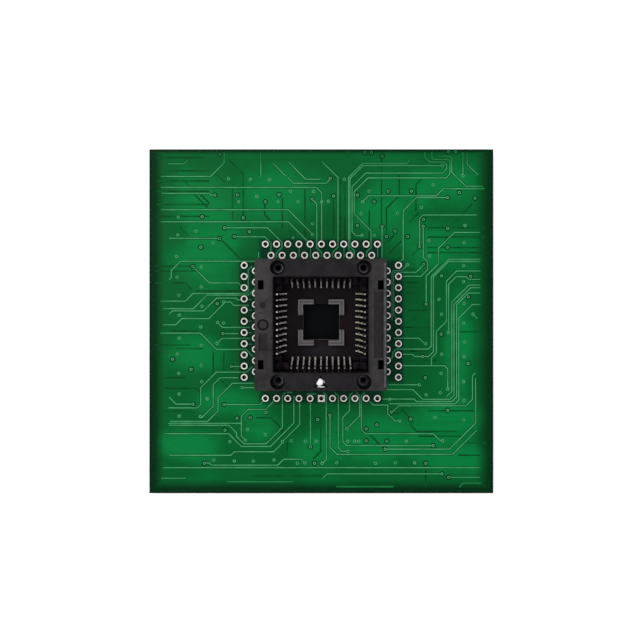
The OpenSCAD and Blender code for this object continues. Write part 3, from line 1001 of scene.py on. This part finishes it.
def ribbon(mesh: bmesh.types.BMesh, points: list[Vector], width: float, low: float, high: float) -> None:
    """Adds a flat track with mitred corners between two heights.

    Args:
        mesh: The bmesh to add to.
        points: Corners of the track's middle line.
        width: Width of the track.
        low: Height of its underside.
        high: Height of its top.
    """
    up = Vector((0.0, 0.0, 1.0))
    headings = [(b - a).normalized() for a, b in zip(points, points[1:])]
    edge = None
    faces = []
    for index, point in enumerate(points):
        before = headings[max(index - 1, 0)]
        after = headings[min(index, len(headings) - 1)]
        mitre = (before + after).normalized()
        across = up.cross(mitre) * (width / 2 / max(mitre.dot(after), MITRE_LIMIT))
        ends = [point - across, point + across]
        if edge is None:
            first, second = (mesh.verts.new(Vector((end.x, end.y, low))) for end in ends)
            edge = mesh.edges.new((first, second))
            continue
        old = (edge.verts[0], edge.verts[1])
        grown = bmesh.ops.extrude_edge_only(mesh, edges=[edge])["geom"]
        faces += [item for item in grown if isinstance(item, bmesh.types.BMFace)]
        edge = next(item for item in grown if isinstance(item, bmesh.types.BMEdge)
                    and not any(corner in old for corner in item.verts))
        middle = (edge.verts[0].co + edge.verts[1].co) / 2
        swap = (edge.verts[1].co - edge.verts[0].co).dot(across) < 0
        for corner, end in zip(edge.verts, reversed(ends) if swap else ends):
            corner.co = Vector((end.x, end.y, middle.z))
    raise_faces(mesh, faces, high - low)


@dataclass
class AdapterBoard:
    """Square laminate board with its tracks, vias and plated holes. Sizes are in metres."""

    track_width: float = 0.22 * MM
    track_height: float = 0.03 * MM
    thin_width: float = 0.18 * MM
    back_width: float = 0.34 * MM
    shade_lift: float = 0.006 * MM
    levels: int = 7
    track_hair: float = 0.00075 * MM
    moat_hair: float = 0.0004 * MM
    back_hair: float = 0.0003 * MM
    moat_width: float = 0.56 * MM
    moat_lift: float = 0.015 * MM
    sunk: float = 0.01 * MM
    via_radius: float = 0.36 * MM
    via_hole: float = 0.17 * MM
    via_lift: float = 0.05 * MM
    via_sides: int = 14
    pit_overlap: float = 0.017 * MM
    pit_lift: float = 0.028 * MM
    pit_sides: int = 10
    halo_radius: float = 0.62 * MM
    halo_lift: float = 0.02 * MM
    halo_sides: int = 16
    pad_radius: float = 0.775 * MM
    opening_gap: float = 0.28 * MM
    opening_overlap: float = 0.1 * MM
    opening_lift: float = 0.024 * MM
    opening_sides: int = 24
    ring_pitch: float = 2.54 * MM
    artwork_offset: tuple[float, float] = (0.07, 0.11)
    ring_rows: tuple[tuple[float, int], ...] = ((17.5 * MM, 11), (14.96 * MM, 10))
    mask: MaskFinish = MaskFinish("board_green", tone(0, 92, 40), tone(2, 124, 60), tone(0, 36, 12),
                                  tone(0, 42, 30), tone(0, 3, 6), tone(96, 104, 58))
    track: TrackFinish = TrackFinish("track_green", tone(78, 166, 112), tone(26, 120, 62))
    shade: ShadeFinish = ShadeFinish("mask_shade", tone(0, 66, 28), tone(0, 92, 40))
    moat: ShadeFinish = ShadeFinish("mask_moat", tone(0, 76, 32), tone(0, 94, 42))
    halo: ShadeFinish = ShadeFinish("mask_halo", tone(0, 40, 18), tone(0, 58, 28))
    bare: ShadeFinish = ShadeFinish("bare_laminate", tone(0, 22, 10), tone(0, 38, 20))
    tin: PadFinish = PadFinish("pad_metal", tone(242, 240, 232), tone(208, 204, 192), tone(14, 12, 12))

    def top(self) -> float:
        """Returns the height of the board's top face."""
        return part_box("board")[1].z

    def bottom(self) -> float:
        """Returns the height of the board's underside."""
        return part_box("board")[0].z

    def routes(self) -> list[Route]:
        """Lists the tracks on the top face.

        Returns:
            The tracks.
        """
        upper_left = [
            Route(-34.8, 35.6, "E3.6 NE0.9"), Route(-36.5, 32.75, "E11.3 NE3.1 N2.2"),
            Route(-36.5, 30.25, "E35.3 SE1.2 S10.8"), Route(-36.4, 28.9, "E10.9 SE0.4 E0.8"),
            Route(-36.5, 25.2, "E28.9 SE5.2"), Route(-36.5, 22.45, "E28.9 SE4.5"),
            Route(-21.8, 21.1, "E9.5 SE3.3 S1.2 SW1.3 S1"), Route(-19.6, 19.05, "E6.7 SE1.4 S2"),
            Route(-34.6, 18.7, "E11"), Route(-34.6, 9.3, "NE0.5 N1.6 NE2.1 E16.9"),
            Route(-13.8, 38, "S5.4"), Route(-14.3, 15.6, "S1.3"), Route(-11.1, 35.8, "SE3"),
            Route(-7.6, 32.4, "SE1.2 E7.4 NE0.8"), Route(-7.5, 36, "SE3.9 E3.3"),
            Route(-2, 27.4, "SE0.9 S10 SE1.1 S1"), Route(0.1, 36.1, "SE3.6 S15.8 SW1.2 S1.2"),
            Route(-29, 12.1, "SE3.5 E6.6 SE0.7"),
        ]
        upper_right = [
            Route(20.1, 36.5, "SW0.8 W10 SW3.2 S16.2 SE1.1 S0.9"),
            Route(27.2, 35.2, "W17.8 SW3 S15.3 SE1 S1"),
            Route(23.4, 38.2, "S1.1 SE1.1 E3.2 SE0.7 S0.8 SW1 W17.4 SW3.1 S10.2 SE0.9 E1.1"),
            Route(25, 38.2, "S1.2 SE0.4 E3.3 SE0.4 S2.9 SW0.9 W17.7 SW3.1 S5.1 SE3.8 S3.8 SW1 S1.1"),
            Route(9.4, 27.15, "NE1.2 E15.4 NE1.6 E9.4"), Route(26.8, 37.3, "E2.2 SE0.5 S3.1 SE3.2 E3.9"),
            Route(32.05, 33.1, "N5.1"), Route(33, 38, "S2.5 SE2.4"),
            Route(28.4, 27.95, "W6.9 SW3 S10.9 SW0.5"), Route(35.2, 24, "W12.2 SW0.8 S6.2"),
            Route(23.05, 21.2, "S6.8 SE1 S1.8 SW1.5 W4.2"),
            Route(35.9, 20.05, "W5.8 SW3.6 S3.5 SW2.8 S5.9"), Route(13.7, 21.2, "S6.9"),
        ]
        right = [
            Route(36, 13.95, "W7.2 SW3.95 S15.8 SW0.6 W7.3 SW0.8 S0.9 SW0.4"),
            Route(36, 13.45, "W7.2 SW3.45 S17 SW1.1 W1.2"), Route(22.6, -8.1, "W1.5 NW0.5 W2.2"),
            Route(36, 11.3, "W5.4 SW2.3 S9.1 SW2.3 S4.9 SW1.1 S1.8"),
            Route(36, 9.4, "W2.6 NW0.6 W2.3 SW1.7 S10.4"), Route(36, 8.1, "W2.6 SW3.9 S20.2 SW1.2"),
            Route(36, 7.5, "W2.2 SW3.8 S20.6 SW0.9 W6.2 NW2.2 W6.4"),
            Route(36, 6.3, "W2.7 SW2.7 S20.9 SW1 W8.1 NW0.55 W7.1"),
            Route(36, 3.7, "W1.8 SW3.1 S18.6 SW0.8 W15"), Route(16.4, -3.95, "E5.7 SE1.1"),
            Route(34.4, 1.4, "SE0.9"), Route(18.4, -10.2, "E9.5 SE0.7 S4.3"),
            Route(34.9, -11.8, "SW0.7 S5.3 SW1.45 W15.3 SW1.3"), Route(15.2, -14.5, "E6.7"),
            Route(34.9, -13, "S10.2 SW5.9 W14.3"), Route(35.2, -24.8, "SW5.5 W26.2 NW1.6 N6.9"),
            Route(10.9, -18.3, "SE0.8 E3.3 S2 SE1.6 E0.9"),
        ]
        lower = [
            Route(9.8, -16.2, "SW0.8 S7.7 SE0.9 E15.4 SE1.5 E0.3"), Route(7.9, -16.3, "SE0.7 S4.6 SW2.7"),
            Route(7, -16.3, "SW0.7 S3.4 SW1.5 S5.5 SE0.9 E19.3"), Route(3, -16.3, "SE0.8 S11.7 SE0.8 E1"),
            Route(0.4, -16.2, "SE0.65 S14.6 SW0.8"), Route(-2.54, -18.3, "S10.1"),
            Route(-5, -18.3, "S5.2 SW3.6"), Route(-9, -27.8, "SW1.9 W8.9 SW0.8 W13.9"),
            Route(-6.3, -17, "S6.2 SW5.3 W6.6 NW2.9 W14.6"),
            Route(-8.2, -16.3, "SW0.7 S7.2 SW3.7 W5 NW1.7 N0.8 NW1.7 W13.6"),
            Route(-7.9, -16.25, "E1.3"), Route(-3.4, -16.6, "E2.2"),
            Route(-10.9, -18.3, "SW1.8 W4 SW1.5 S4.5 SE0.7"), Route(-13.3, -18.3, "SW0.7 W8"),
            Route(-3.9, -32.1, "NW0.7 W4 SW1.35 W15 NW0.5 W0.7"), Route(-36, -33.3, "E72"),
            Route(0.2, -35.8, "NE1.1 E25.7"), Route(-21.5, -36.5, "E15.1"), Route(29, -35.5, "E6.9"),
            Route(31.2, -37.7, "NE0.9 E4"), Route(3.3, -37.6, "E13"), Route(-36.4, -35.7, "E5.6"),
            Route(-34.6, -17.3, "SE1.6 E3.4"), Route(-34.8, -19.75, "E6.6 NE0.8 N3.8 NE3.5 E6.9 NE1.3"),
            Route(-18.9, -12.9, "W4.1 SW1.6 S4.9 SW2.6"),
            Route(-15.4, -14.15, "W4.8 SW3.3 S3 SW2.35 W8.6"), Route(-17.8, -15.15, "E2.5"),
            Route(-18.35, -23.25, "W16.4"),
        ]
        left = [
            Route(-36.6, 4.45, "E5.7 NE1.75 E12 NE0.5 N4.8 NE0.9"),
            Route(-36, 2.75, "E6.9 NE3.1 E9.4 NE1.5"),
            Route(-34.6, 1.5, "NE0.75 E7.1 NE2.9 E4.4 SE0.4 E0.7"),
            Route(-36, -0.9, "E2.9 NE1.4 E6.1 NE3.75 E1.2 SE0.75 E3.4"), Route(-23.4, -0.6, "SE0.9 E6.2"),
            Route(-22.2, -2.9, "E3.3"), Route(-23.5, -4.9, "NE0.9 E6.3"),
            Route(-36.6, -2.8, "E9.1 SE3.7 E6.6 SE1.6"), Route(-20.3, -10.35, "E1.8"),
        ]
        return upper_left + upper_right + right + lower + left

    def thin_routes(self) -> list[Route]:
        """Lists the fine tracks that pass between the rows of holes.

        Returns:
            The tracks.
        """
        between = [Route(x, 16.7, "S2.4") for x in (-5.08, -2.54, 5.08, 12.7)]
        stubs = [Route(-16.65, y, "E0.8") for y in (4.8, 2.4, -0.1, -2.7, -5.3)]
        return between + stubs + [
            Route(19.4, 12.6, "SW1.2 W1.9 SW0.35 S11"), Route(23, 12.6, "SW1.6 W4.8 SW0.27 S9.5 SE0.6"),
        ]

    def back_routes(self) -> list[Route]:
        """Lists the tracks of the underside, which show through as darker lines.

        Returns:
            The tracks.
        """
        upper = [
            Route(-20.9, 36.4, "SE3.1 S9.3"), Route(-24.1, 33.5, "SE2.2"), Route(-29, 28.8, "SE3.1"),
            Route(-27.6, 28.8, "SE2.1"), Route(-31.5, 32, "SE1.6"), Route(-22.6, 18.2, "SE4.1"),
            Route(-32.2, 21.3, "SE1.9"), Route(-20.2, 30, "S7"), Route(-3.8, 30, "S11"),
            Route(-8.9, 28, "S7"), Route(2.7, 27.5, "S9.5"), Route(4.3, 32, "S14"), Route(5.2, 32, "S14"),
            Route(10.8, 25, "S7"), Route(13.6, 37, "S15"), Route(6.1, 38.4, "S3.4"),
            Route(-12.9, 27, "S3 SE1.4"), Route(17.6, 33, "S4.6 SW2.9 S6"), Route(23.1, 32.6, "SW1.7 S6"),
            Route(34.2, 26.5, "SW4.6"), Route(22, 24.5, "SW2.2"), Route(22, 16.3, "SW1.6"),
            Route(18, 18, "SW2.8"), Route(16.5, 19.5, "SW2.1"),
        ]
        rungs = [Route(-37.5, y, "E12") for y in (37, 34, 31.7, 29.4, 26.4, 23.7)]
        rungs += [Route(24, y, "E13") for y in (21.1, 19, 16.6, 15.5)]
        middle = [
            Route(-37.8, 12.4, "E8"), Route(-37.8, 11.3, "E10"), Route(-37.8, 8.6, "E6.8 SE1.5"),
            Route(-28.8, 6.75, "E12"), Route(-28, 0.95, "E3"), Route(-36, -2.3, "E8"),
            Route(-37.8, -5.5, "E8"), Route(-33, -6.3, "E6"), Route(-24.6, -7.2, "S5"),
            Route(-22.2, -7.2, "S5"), Route(-36, -12.9, "E5"), Route(19.7, 2.4, "E4.3"),
            Route(19, 8.7, "E3"), Route(19, 6.3, "E2.6"), Route(18.6, -1.5, "E5.6"), Route(19, -9, "E7"),
            Route(31.5, -2.5, "E5"), Route(20, -6.9, "E4.2"), Route(20, 11.5, "E1.6"),
        ]
        lower = [
            Route(-36.5, -15.3, "E8 SE1"), Route(-36.5, -20.5, "E8"), Route(-15, -22, "E3.5 SE2.6 S1.6"),
            Route(-23, -13.3, "SE1.6"), Route(-5.8, -19, "E2"), Route(-4, -21.4, "E1.2"),
            Route(-0.2, -22, "S7.6 SW1.8"), Route(-7.8, -27.6, "S3.2"), Route(-16, -35.2, "E16"),
            Route(11, -25.9, "SE3"), Route(18, -20, "SE2.3 S1.5 SE1.3 E9"), Route(22, -26.2, "E10"),
            Route(24, -20.4, "E12"), Route(33, -27.7, "E4.5"), Route(31, -30.5, "E5"),
            Route(23.6, -33.8, "S4"), Route(15.5, -21, "E2.2"), Route(-13, -21.2, "E1"),
        ]
        return upper + rungs + middle + lower

    def vias(self) -> list[tuple[tuple[float, float], bool]]:
        """Lists the vias, whose places are written here in millimetres.

        Returns:
            The place of each via in metres, and True where it has a dark halo.
        """
        plain = (
            "-32.5,23.5 -28.5,20.3 -32.6,19.45 -24.6,17.6 -32.9,14.6 -18.8,27 -21.1,32.2 -16.2,32.1 "
            "-14.7,28.2 -11.85,32 -7.1,29.35 -9.9,27 -5.35,27 -1.8,29.35 0,27 1.5,27.1 5.2,32.1 -2.05,22 "
            "-2.1,19.6 10.75,29.4 9.3,27 8.95,24.3 9.15,19.4 11.95,19.4 25.3,30.85 22.6,25.7 17.2,24.3 "
            "32.5,21.6 24.3,18.15 32.3,17.7 24.5,14.7 32.05,32.9 27.4,35.2 -27.3,12.2 -32.8,9.9 -27.3,7.7 "
            "-32.4,5.8 -27.1,3.3 -22.2,4.3 -32.3,1.3 -27.4,-1.4 -23.6,-0.4 -22.2,-0.5 -23.7,-5.1 "
            "-32.3,-3.9 -27.3,-5.6 -32.7,-7.5 -27.3,-10.1 -32.4,-11.9 -27.2,-13.8 "
            "19.5,12.7 32.2,12.5 32.2,8.9 "
            "26.6,4.9 32.3,3.9 27.2,1.5 32.2,-0.5 34.3,1.5 28.7,-2.6 32.4,-4.8 23.6,-5.2 27.2,-7.6 "
            "32.3,-8.1 27.1,-11.9 32.2,-13.8 -32.3,-16.6 -26,-17.7 -18,-15.15 -32.3,-21.6 -27.5,-21.7 "
            "-16.8,-24.6 -20.8,-27.4 -17.3,-27.1 -24.5,-31.6 -19.8,-31.8 -15.5,-31.8 -12.6,-20.8 "
            "-12.8,-25.8 -8.9,-27.4 -6.9,-27.2 -3.7,-27.3 -1.2,-27.3 -10.8,-31.6 -5.5,-32.3 -3.8,-32.2 "
            "0.1,-32.3 3.4,-32.2 5.7,-24.5 5.9,-27.3 7.5,-27.3 8.4,-27.3 6,-29.6 12.2,-32.3 22.2,-14.5 "
            "23.7,-16.8 26.9,-16.3 28.6,-15.5 32.3,-18 15.4,-17.8 17.7,-22.7 25.7,-21.9 32.2,-22.5 "
            "19.2,-27.3 27.4,-27.2 16.7,-32.2 21.1,-32.2"
        )
        haloed = (
            "-27.1,23.6 -23.2,18.65 -27.4,16.7 -19.1,28.55 -17.8,23.35 -22,21.1 -16.4,20.2 -19.8,19.1 "
            "-23.1,37.7 -9.65,28.6 -12.8,27 -2.15,27.6 2.7,28.3 1.95,32.3 -6.5,18.85 8.1,28.5 11.9,27 "
            "8.1,21.6 9.8,38.1 11.3,38.1 13.75,37.3 15.1,29.4 20.35,29.4 31.2,29.1 28.6,27.95 34.8,27.8 "
            "23.1,23 23.05,21.4 13.7,21.4 28.6,20.95 16.65,20.35 14.7,19.1 19.5,19.1 28.6,16.7 28.8,38.3 "
            "30.4,38.3 -24.2,28.5 22.2,16.8 -29.2,12.3 -23.7,3.9 -22.4,-2.9 -33.8,-8.7 -29.6,-11 "
            "-20.5,-10.35 23.1,12.8 27.2,10.2 33.8,10.1 33.3,5.4 23.7,3.8 27.1,-3 33.2,-9.7 23.5,-12.9 "
            "22.9,-8.1 -29.2,-18.9 -22.2,-19 -19.2,-22.1 -16.2,-22 -21.9,-24.8 -26.6,-32.3 -0.9,-22.4 "
            "1.9,-21.4 -2.55,-28.6 -1.6,-32.3 10.1,-24.5 10.1,-27.2 12.5,-23.6 15.8,-20.7 20.2,-22.3 "
            "28.6,-20.3 14.8,-27.3 25.3,-28.3 14.4,-29.1 23.6,-32.3 27.3,-34.7 28.8,-35.5"
        )
        found = []
        for text, halo in ((plain, False), (haloed, True)):
            for place in text.split():
                x, y = (float(part) + shift for part, shift in zip(place.split(","), self.artwork_offset))
                found.append(((x * MM, y * MM), halo))
        return found

    def ring_places(self) -> list[tuple[float, float]]:
        """Lists the middles of the plated holes of the ring.

        Returns:
            The place of each hole.
        """
        found = []
        for quarter in range(4):
            turn = Matrix.Rotation(quarter * math.pi / 2, 3, "Z")
            for radius, count in self.ring_rows:
                for index in range(count):
                    spot = turn @ Vector((radius, (index - (count - 1) / 2) * self.ring_pitch, 0.0))
                    found.append((spot.x, spot.y))
        return found

    def lay(self, name: str, mesh: bmesh.types.BMesh, finish: TrackFinish | ShadeFinish) -> None:
        """Lays a piece on the board.

        Args:
            name: Name of the piece.
            mesh: Its shape.
            finish: Its finish.
        """
        piece = new_piece(name, mesh, finish.material())
        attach(piece, Body.BASE.value)

    def strips(self, name: str, routes: list[Route], width: float, heights: tuple[float, float],
               hairs: tuple[float, float], finish: TrackFinish | ShadeFinish) -> None:
        """Builds one piece from tracks of one width.

        Tracks that cross differ by a hair in height, so that no two of their faces share a plane.

        Args:
            name: Name of the piece.
            routes: The tracks.
            width: Width of each track.
            heights: Height of the underside and of the top.
            hairs: How much lower the underside, and how much higher the top, is from one level to
                the next.
            finish: The tracks' finish.
        """
        mesh = bmesh.new()
        for index, route in enumerate(routes):
            level = index % self.levels
            ribbon(mesh, route.points(self.artwork_offset), width, heights[0] - level * hairs[0],
                   heights[1] + level * hairs[1])
        self.lay(name, mesh, finish)

    def tracks(self) -> None:
        """Builds the tracks of both faces, the bare strips beside them and the shade of the back ones."""
        top, bottom = self.top(), self.bottom()
        raised = (top - self.track_height / 2, top + self.track_height)
        above = (0.0, self.track_hair)
        both = (self.back_hair, self.back_hair)
        self.strips("board_tracks", self.routes(), self.track_width, raised, above, self.track)
        self.strips("fine_tracks", self.thin_routes(), self.thin_width, raised, above, self.track)
        self.strips("track_moats", self.routes(), self.moat_width,
                    (top - self.shade_lift, top + self.moat_lift), (0.0, self.moat_hair), self.moat)
        self.strips("back_tracks", self.back_routes(), self.back_width,
                    (bottom - self.track_height, bottom + self.track_height / 2), both, self.track)
        self.strips("back_track_shade", self.back_routes(), self.back_width,
                    (top - self.shade_lift, top + self.shade_lift), both, self.shade)

    def disc(self, mesh: bmesh.types.BMesh, place: tuple[float, float], inner: float, outer: float,
             lift: float, sides: int) -> None:
        """Adds a flat ring on the board, or a disc where the inner radius is 0.

        Args:
            mesh: The bmesh to add to.
            place: Middle of the ring.
            inner: Inner radius.
            outer: Outer radius.
            lift: Height of its top over the board.
            sides: Number of sides.
        """
        foot = Matrix.Translation((*place, self.top() - self.sunk))
        rim = bmesh.ops.create_circle(mesh, cap_ends=True, segments=sides, radius=outer,
                                      matrix=foot)["verts"]
        faces = list({face for corner in rim for face in corner.link_faces})
        if inner > 0:
            inset = bmesh.ops.inset_individual(mesh, faces=faces, thickness=outer - inner,
                                               use_even_offset=True)
            bmesh.ops.delete(mesh, geom=faces, context="FACES_ONLY")
            faces = inset["faces"]
        raise_faces(mesh, faces, self.sunk + lift)

    def via_rings(self) -> None:
        """Builds the vias: a raised ring round a dark pit, some with a halo of thin mask."""
        rings, pits, halos = bmesh.new(), bmesh.new(), bmesh.new()
        for place, halo in self.vias():
            self.disc(rings, place, self.via_hole, self.via_radius, self.via_lift, self.via_sides)
            self.disc(pits, place, 0.0, self.via_hole + self.pit_overlap, self.pit_lift, self.pit_sides)
            if halo:
                self.disc(halos, place, 0.0, self.halo_radius, self.halo_lift, self.halo_sides)
        self.lay("via_rings", rings, self.track)
        self.lay("via_pits", pits, self.halo)
        self.lay("via_halos", halos, self.halo)

    def mask_openings(self) -> None:
        """Builds the bare laminate that shows round each pad of the ring."""
        mesh = bmesh.new()
        for place in self.ring_places():
            self.disc(mesh, place, self.pad_radius - self.opening_overlap,
                      self.pad_radius + self.opening_gap, self.opening_lift, self.opening_sides)
        self.lay("mask_openings", mesh, self.bare)

    def build(self) -> None:
        """Dresses the board and its pads, and builds what lies on it."""
        dress("board", self.mask.material())
        dress("adapter_pads", self.tin.material())
        dress("socket_pads", self.tin.material())
        self.tracks()
        self.via_rings()
        self.mask_openings()


@dataclass
class SocketBody:
    """Base moulding, retainer, seat insert and cover of the socket."""

    cover_round: float = 0.12 * MM
    base_round: float = 0.08 * MM
    seat_round: float = 0.12 * MM
    cover: CoverFinish = CoverFinish("cover_plastic", tone(23, 20, 24), tone(64, 62, 62), tone(10, 8, 10))
    black: BaseFinish = BaseFinish("base_plastic", tone(20, 6, 13), tone(40, 30, 36), tone(6, 3, 5))
    seat: SeatFinish = SeatFinish("seat_plastic", tone(104, 98, 101), tone(136, 130, 133), tone(80, 76, 78))

    def build(self) -> None:
        """Dresses the mouldings and rounds their edges."""
        black = self.black.material()
        for node in ("base", "contact_retainer"):
            dress(node, black)
        dress("cover", self.cover.material())
        dress("seat_insert", self.seat.material())
        soften("cover", self.cover_round)
        soften("base", self.base_round)
        soften("seat_insert", self.seat_round)


@dataclass
class Contacts:
    """The 44 spring contacts and their solder joints."""

    # the four copies of one metal differ only in painted light: each arm-top colour, and a little each edge
    # colour, is the light or shade that falls on that side
    finishes: tuple[tuple[str, ContactFinish], ...] = (
        ("east", ContactFinish("contact_east", tone(255, 246, 218), tone(190, 184, 170))),
        ("north", ContactFinish("contact_north", tone(236, 228, 232), tone(60, 56, 58))),
        ("west", ContactFinish("contact_west", tone(255, 250, 248), tone(252, 248, 250))),
        ("south", ContactFinish("contact_south", tone(246, 236, 234), tone(170, 160, 160))),
    )
    solder: MetalFinish = MetalFinish("solder_metal", tone(196, 198, 202), tone(142, 144, 150), 1.0, 0.3)

    def build(self) -> None:
        """Dresses the stems, the arms and the solder."""
        for side, finish in self.finishes:
            metal = finish.material()
            dress(f"contact_stems_{side}", metal)
            dress(f"contact_arms_{side}", metal)
        dress("solder_joints", self.solder.material())


@dataclass
class ReturnSprings:
    """Four coil springs round the guide posts, which in the real socket shorten as the cover goes down;
    each is built here at the length of the imported one.
    """

    wire_radius: float = 0.14 * MM
    coil_radius: float = 1.22 * MM
    turns: float = 8.0
    steps_per_turn: int = 20
    wire_sides: int = 8
    closed_share: float = 0.35
    steel: MetalFinish = MetalFinish("spring_metal", tone(190, 192, 196), tone(120, 122, 128), 1.0, 0.25)

    def rise(self, share: float) -> float:
        """Gives the height along the wire, with a closed turn at each end.

        Args:
            share: Share of the wire's length.

        Returns:
            Share of the spring's height.
        """
        end = 1 / self.turns
        if share < end:
            return self.closed_share * share
        if share > 1 - end:
            return 1 - self.closed_share * (1 - share)
        slope = (1 - 2 * self.closed_share * end) / (1 - 2 * end)
        return self.closed_share * end + (share - end) * slope

    def coil(self, node: str) -> None:
        """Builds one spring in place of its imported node.

        Args:
            node: Name of the node.
        """
        low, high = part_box(node)
        middle = (low + high) / 2
        mesh = bmesh.new()
        count = int(self.turns * self.steps_per_turn)
        foot, head = low.z + self.wire_radius, high.z - self.wire_radius
        upright = Matrix.Translation((self.coil_radius, 0.0, 0.0)) @ Matrix.Rotation(math.pi / 2, 4, "X")
        ring = bmesh.ops.create_circle(mesh, cap_ends=True, segments=self.wire_sides,
                                       radius=self.wire_radius, matrix=upright)["verts"]
        bmesh.ops.spin(mesh, geom=list({face for corner in ring for face in corner.link_faces}),
                       cent=(0.0, 0.0, 0.0), axis=(0.0, 0.0, 1.0), angle=self.turns * 2 * math.pi,
                       steps=count, dvec=(0.0, 0.0, 1.0 / count))
        for corner in mesh.verts:
            # the spin lifts the wire by one metre in all, which the real rise replaces
            share = min(max(round(corner.co.z * count) / count, 0.0), 1.0)
            offset = corner.co.z - share
            corner.co.z = foot + (head - foot) * self.rise(share) + offset
            corner.co.x += middle.x
            corner.co.y += middle.y
        piece = new_piece(f"coil_{node[-2:]}", mesh, self.steel.material(), smooth=True)
        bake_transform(piece)
        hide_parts(node)

    def build(self) -> None:
        """Builds the four springs."""
        for corner in ("ne", "nw", "sw", "se"):
            self.coil(f"return_spring_{corner}")


@dataclass
class PinOneMark:
    """White paint daubed in the arrow of the cover: a thick drop, and a little on two of its walls."""

    depth: float = 0.5 * MM
    drop_place: tuple[float, float] = (-0.34 * MM, -12.0 * MM)
    drop_size: tuple[float, float, float] = (0.9 * MM, 0.8 * MM, 0.34 * MM)
    bar_place: tuple[float, float] = (0.06 * MM, -13.08 * MM)
    bar_size: tuple[float, float, float] = (0.86 * MM, 0.15 * MM, 0.26 * MM)
    smear_place: tuple[float, float] = (0.74 * MM, -12.02 * MM)
    smear_size: tuple[float, float, float] = (0.38 * MM, 0.08 * MM, 0.46 * MM)
    smear_turn: float = math.radians(-60)
    meridians: int = 28
    parallels: int = 14
    sunk_share: float = 0.2
    paint: PaintFinish = PaintFinish("marking_paint", tone(255, 255, 255), tone(244, 244, 244))

    def daub(self, mesh: bmesh.types.BMesh, place: tuple[float, float], size: tuple[float, float, float],
             turn: float, pull: float) -> None:
        """Adds one daub of paint on the floor of the arrow.

        Args:
            mesh: The bmesh to add to.
            place: Middle of the daub.
            size: Half its length, width and height.
            turn: Angle that its length is turned by.
            pull: How far its outline is pulled out of round, as a share.
        """
        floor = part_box("cover")[1].z - self.depth
        matrix = (Matrix.Translation((*place, floor)) @ Matrix.Rotation(turn, 4, "Z")
                  @ Matrix.Diagonal((*size, 1.0)))
        ball = bmesh.ops.create_uvsphere(mesh, u_segments=self.meridians, v_segments=self.parallels,
                                         radius=1.0)["verts"]
        for corner in ball:
            angle = math.atan2(corner.co.y, corner.co.x)
            swell = 1 + pull * (0.6 * math.cos(2 * angle + 1.9) + 0.4 * math.sin(3 * angle + 0.4))
            height = max(corner.co.z, -self.sunk_share)
            corner.co = Vector((corner.co.x * swell, corner.co.y * swell, height))
        bmesh.ops.transform(mesh, matrix=matrix, verts=ball)

    def build(self) -> None:
        """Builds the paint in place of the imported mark."""
        mesh = bmesh.new()
        self.daub(mesh, self.drop_place, self.drop_size, 0.0, 0.12)
        self.daub(mesh, self.bar_place, self.bar_size, 0.0, 0.1)
        self.daub(mesh, self.smear_place, self.smear_size, self.smear_turn, 0.0)
        piece = new_piece("arrow_paint", mesh, self.paint.material(), smooth=True)
        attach(piece, Body.COVER.value)
        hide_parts("pin1_mark")


@dataclass
class Studio:
    """Floor, soft light and camera."""

    floor_size: float = 1.6
    camera_place: Vector = field(default_factory=lambda: Vector((1.5, 10.0, 177.5)) * MM)
    lens: float = 43.3
    sensor: float = 36.0
    shift: tuple[float, float] = (-0.0124, -0.0669)
    clip: tuple[float, float] = (0.01, 10.0)
    world_light: float = 0.75
    lamp_power: float = 1.6
    lamp_size: float = 0.5
    lamp_place: Vector = field(default_factory=lambda: Vector((-0.25, 0.2, 0.6)))

    def floor(self) -> None:
        """Lays the floor."""
        mesh = bmesh.new()
        bmesh.ops.create_grid(mesh, x_segments=2, y_segments=2, size=self.floor_size / 2)
        item = add_object("floor", mesh, FloorFinish("floor_white", CAD_BOX[1].x).material())

    def light(self) -> None:
        """Sets the even world light and one wide lamp."""
        world = bpy.data.worlds.new("studio")
        world.use_nodes = True
        background = world.node_tree.nodes["Background"]
        background.inputs["Color"].default_value = (1.0, 1.0, 1.0, 1.0)
        background.inputs["Strength"].default_value = self.world_light
        bpy.context.scene.world = world
        lamp = bpy.data.lights.new("soft_lamp", "AREA")
        lamp.shape = "SQUARE"
        lamp.size = self.lamp_size
        lamp.energy = self.lamp_power
        item = bpy.data.objects.new("soft_lamp", lamp)
        item.location = self.lamp_place
        item.rotation_euler = (-item.location).to_track_quat("-Z", "Y").to_euler()
        bpy.context.scene.collection.objects.link(item)

    def camera(self) -> None:
        """Places the camera straight above the board."""
        data = bpy.data.cameras.new("camera")
        data.lens = self.lens
        data.sensor_width = self.sensor
        data.shift_x, data.shift_y = self.shift
        data.clip_start, data.clip_end = self.clip
        item = bpy.data.objects.new("camera", data)
        item.location = self.camera_place
        bpy.context.scene.collection.objects.link(item)
        bpy.context.scene.camera = item

    def build(self) -> None:
        """Sets the stage."""
        self.floor()
        self.light()
        self.camera()
        bpy.context.scene.view_settings.view_transform = "Standard"


def main() -> None:
    """Builds the stage and every sub-assembly in order."""
    logging.basicConfig(level=logging.INFO, format="%(name)s: %(message)s")
    Studio().build()
    AdapterBoard().build()
    SocketBody().build()
    Contacts().build()
    ReturnSprings().build()
    PinOneMark().build()


if __name__ == "__main__":
    main()
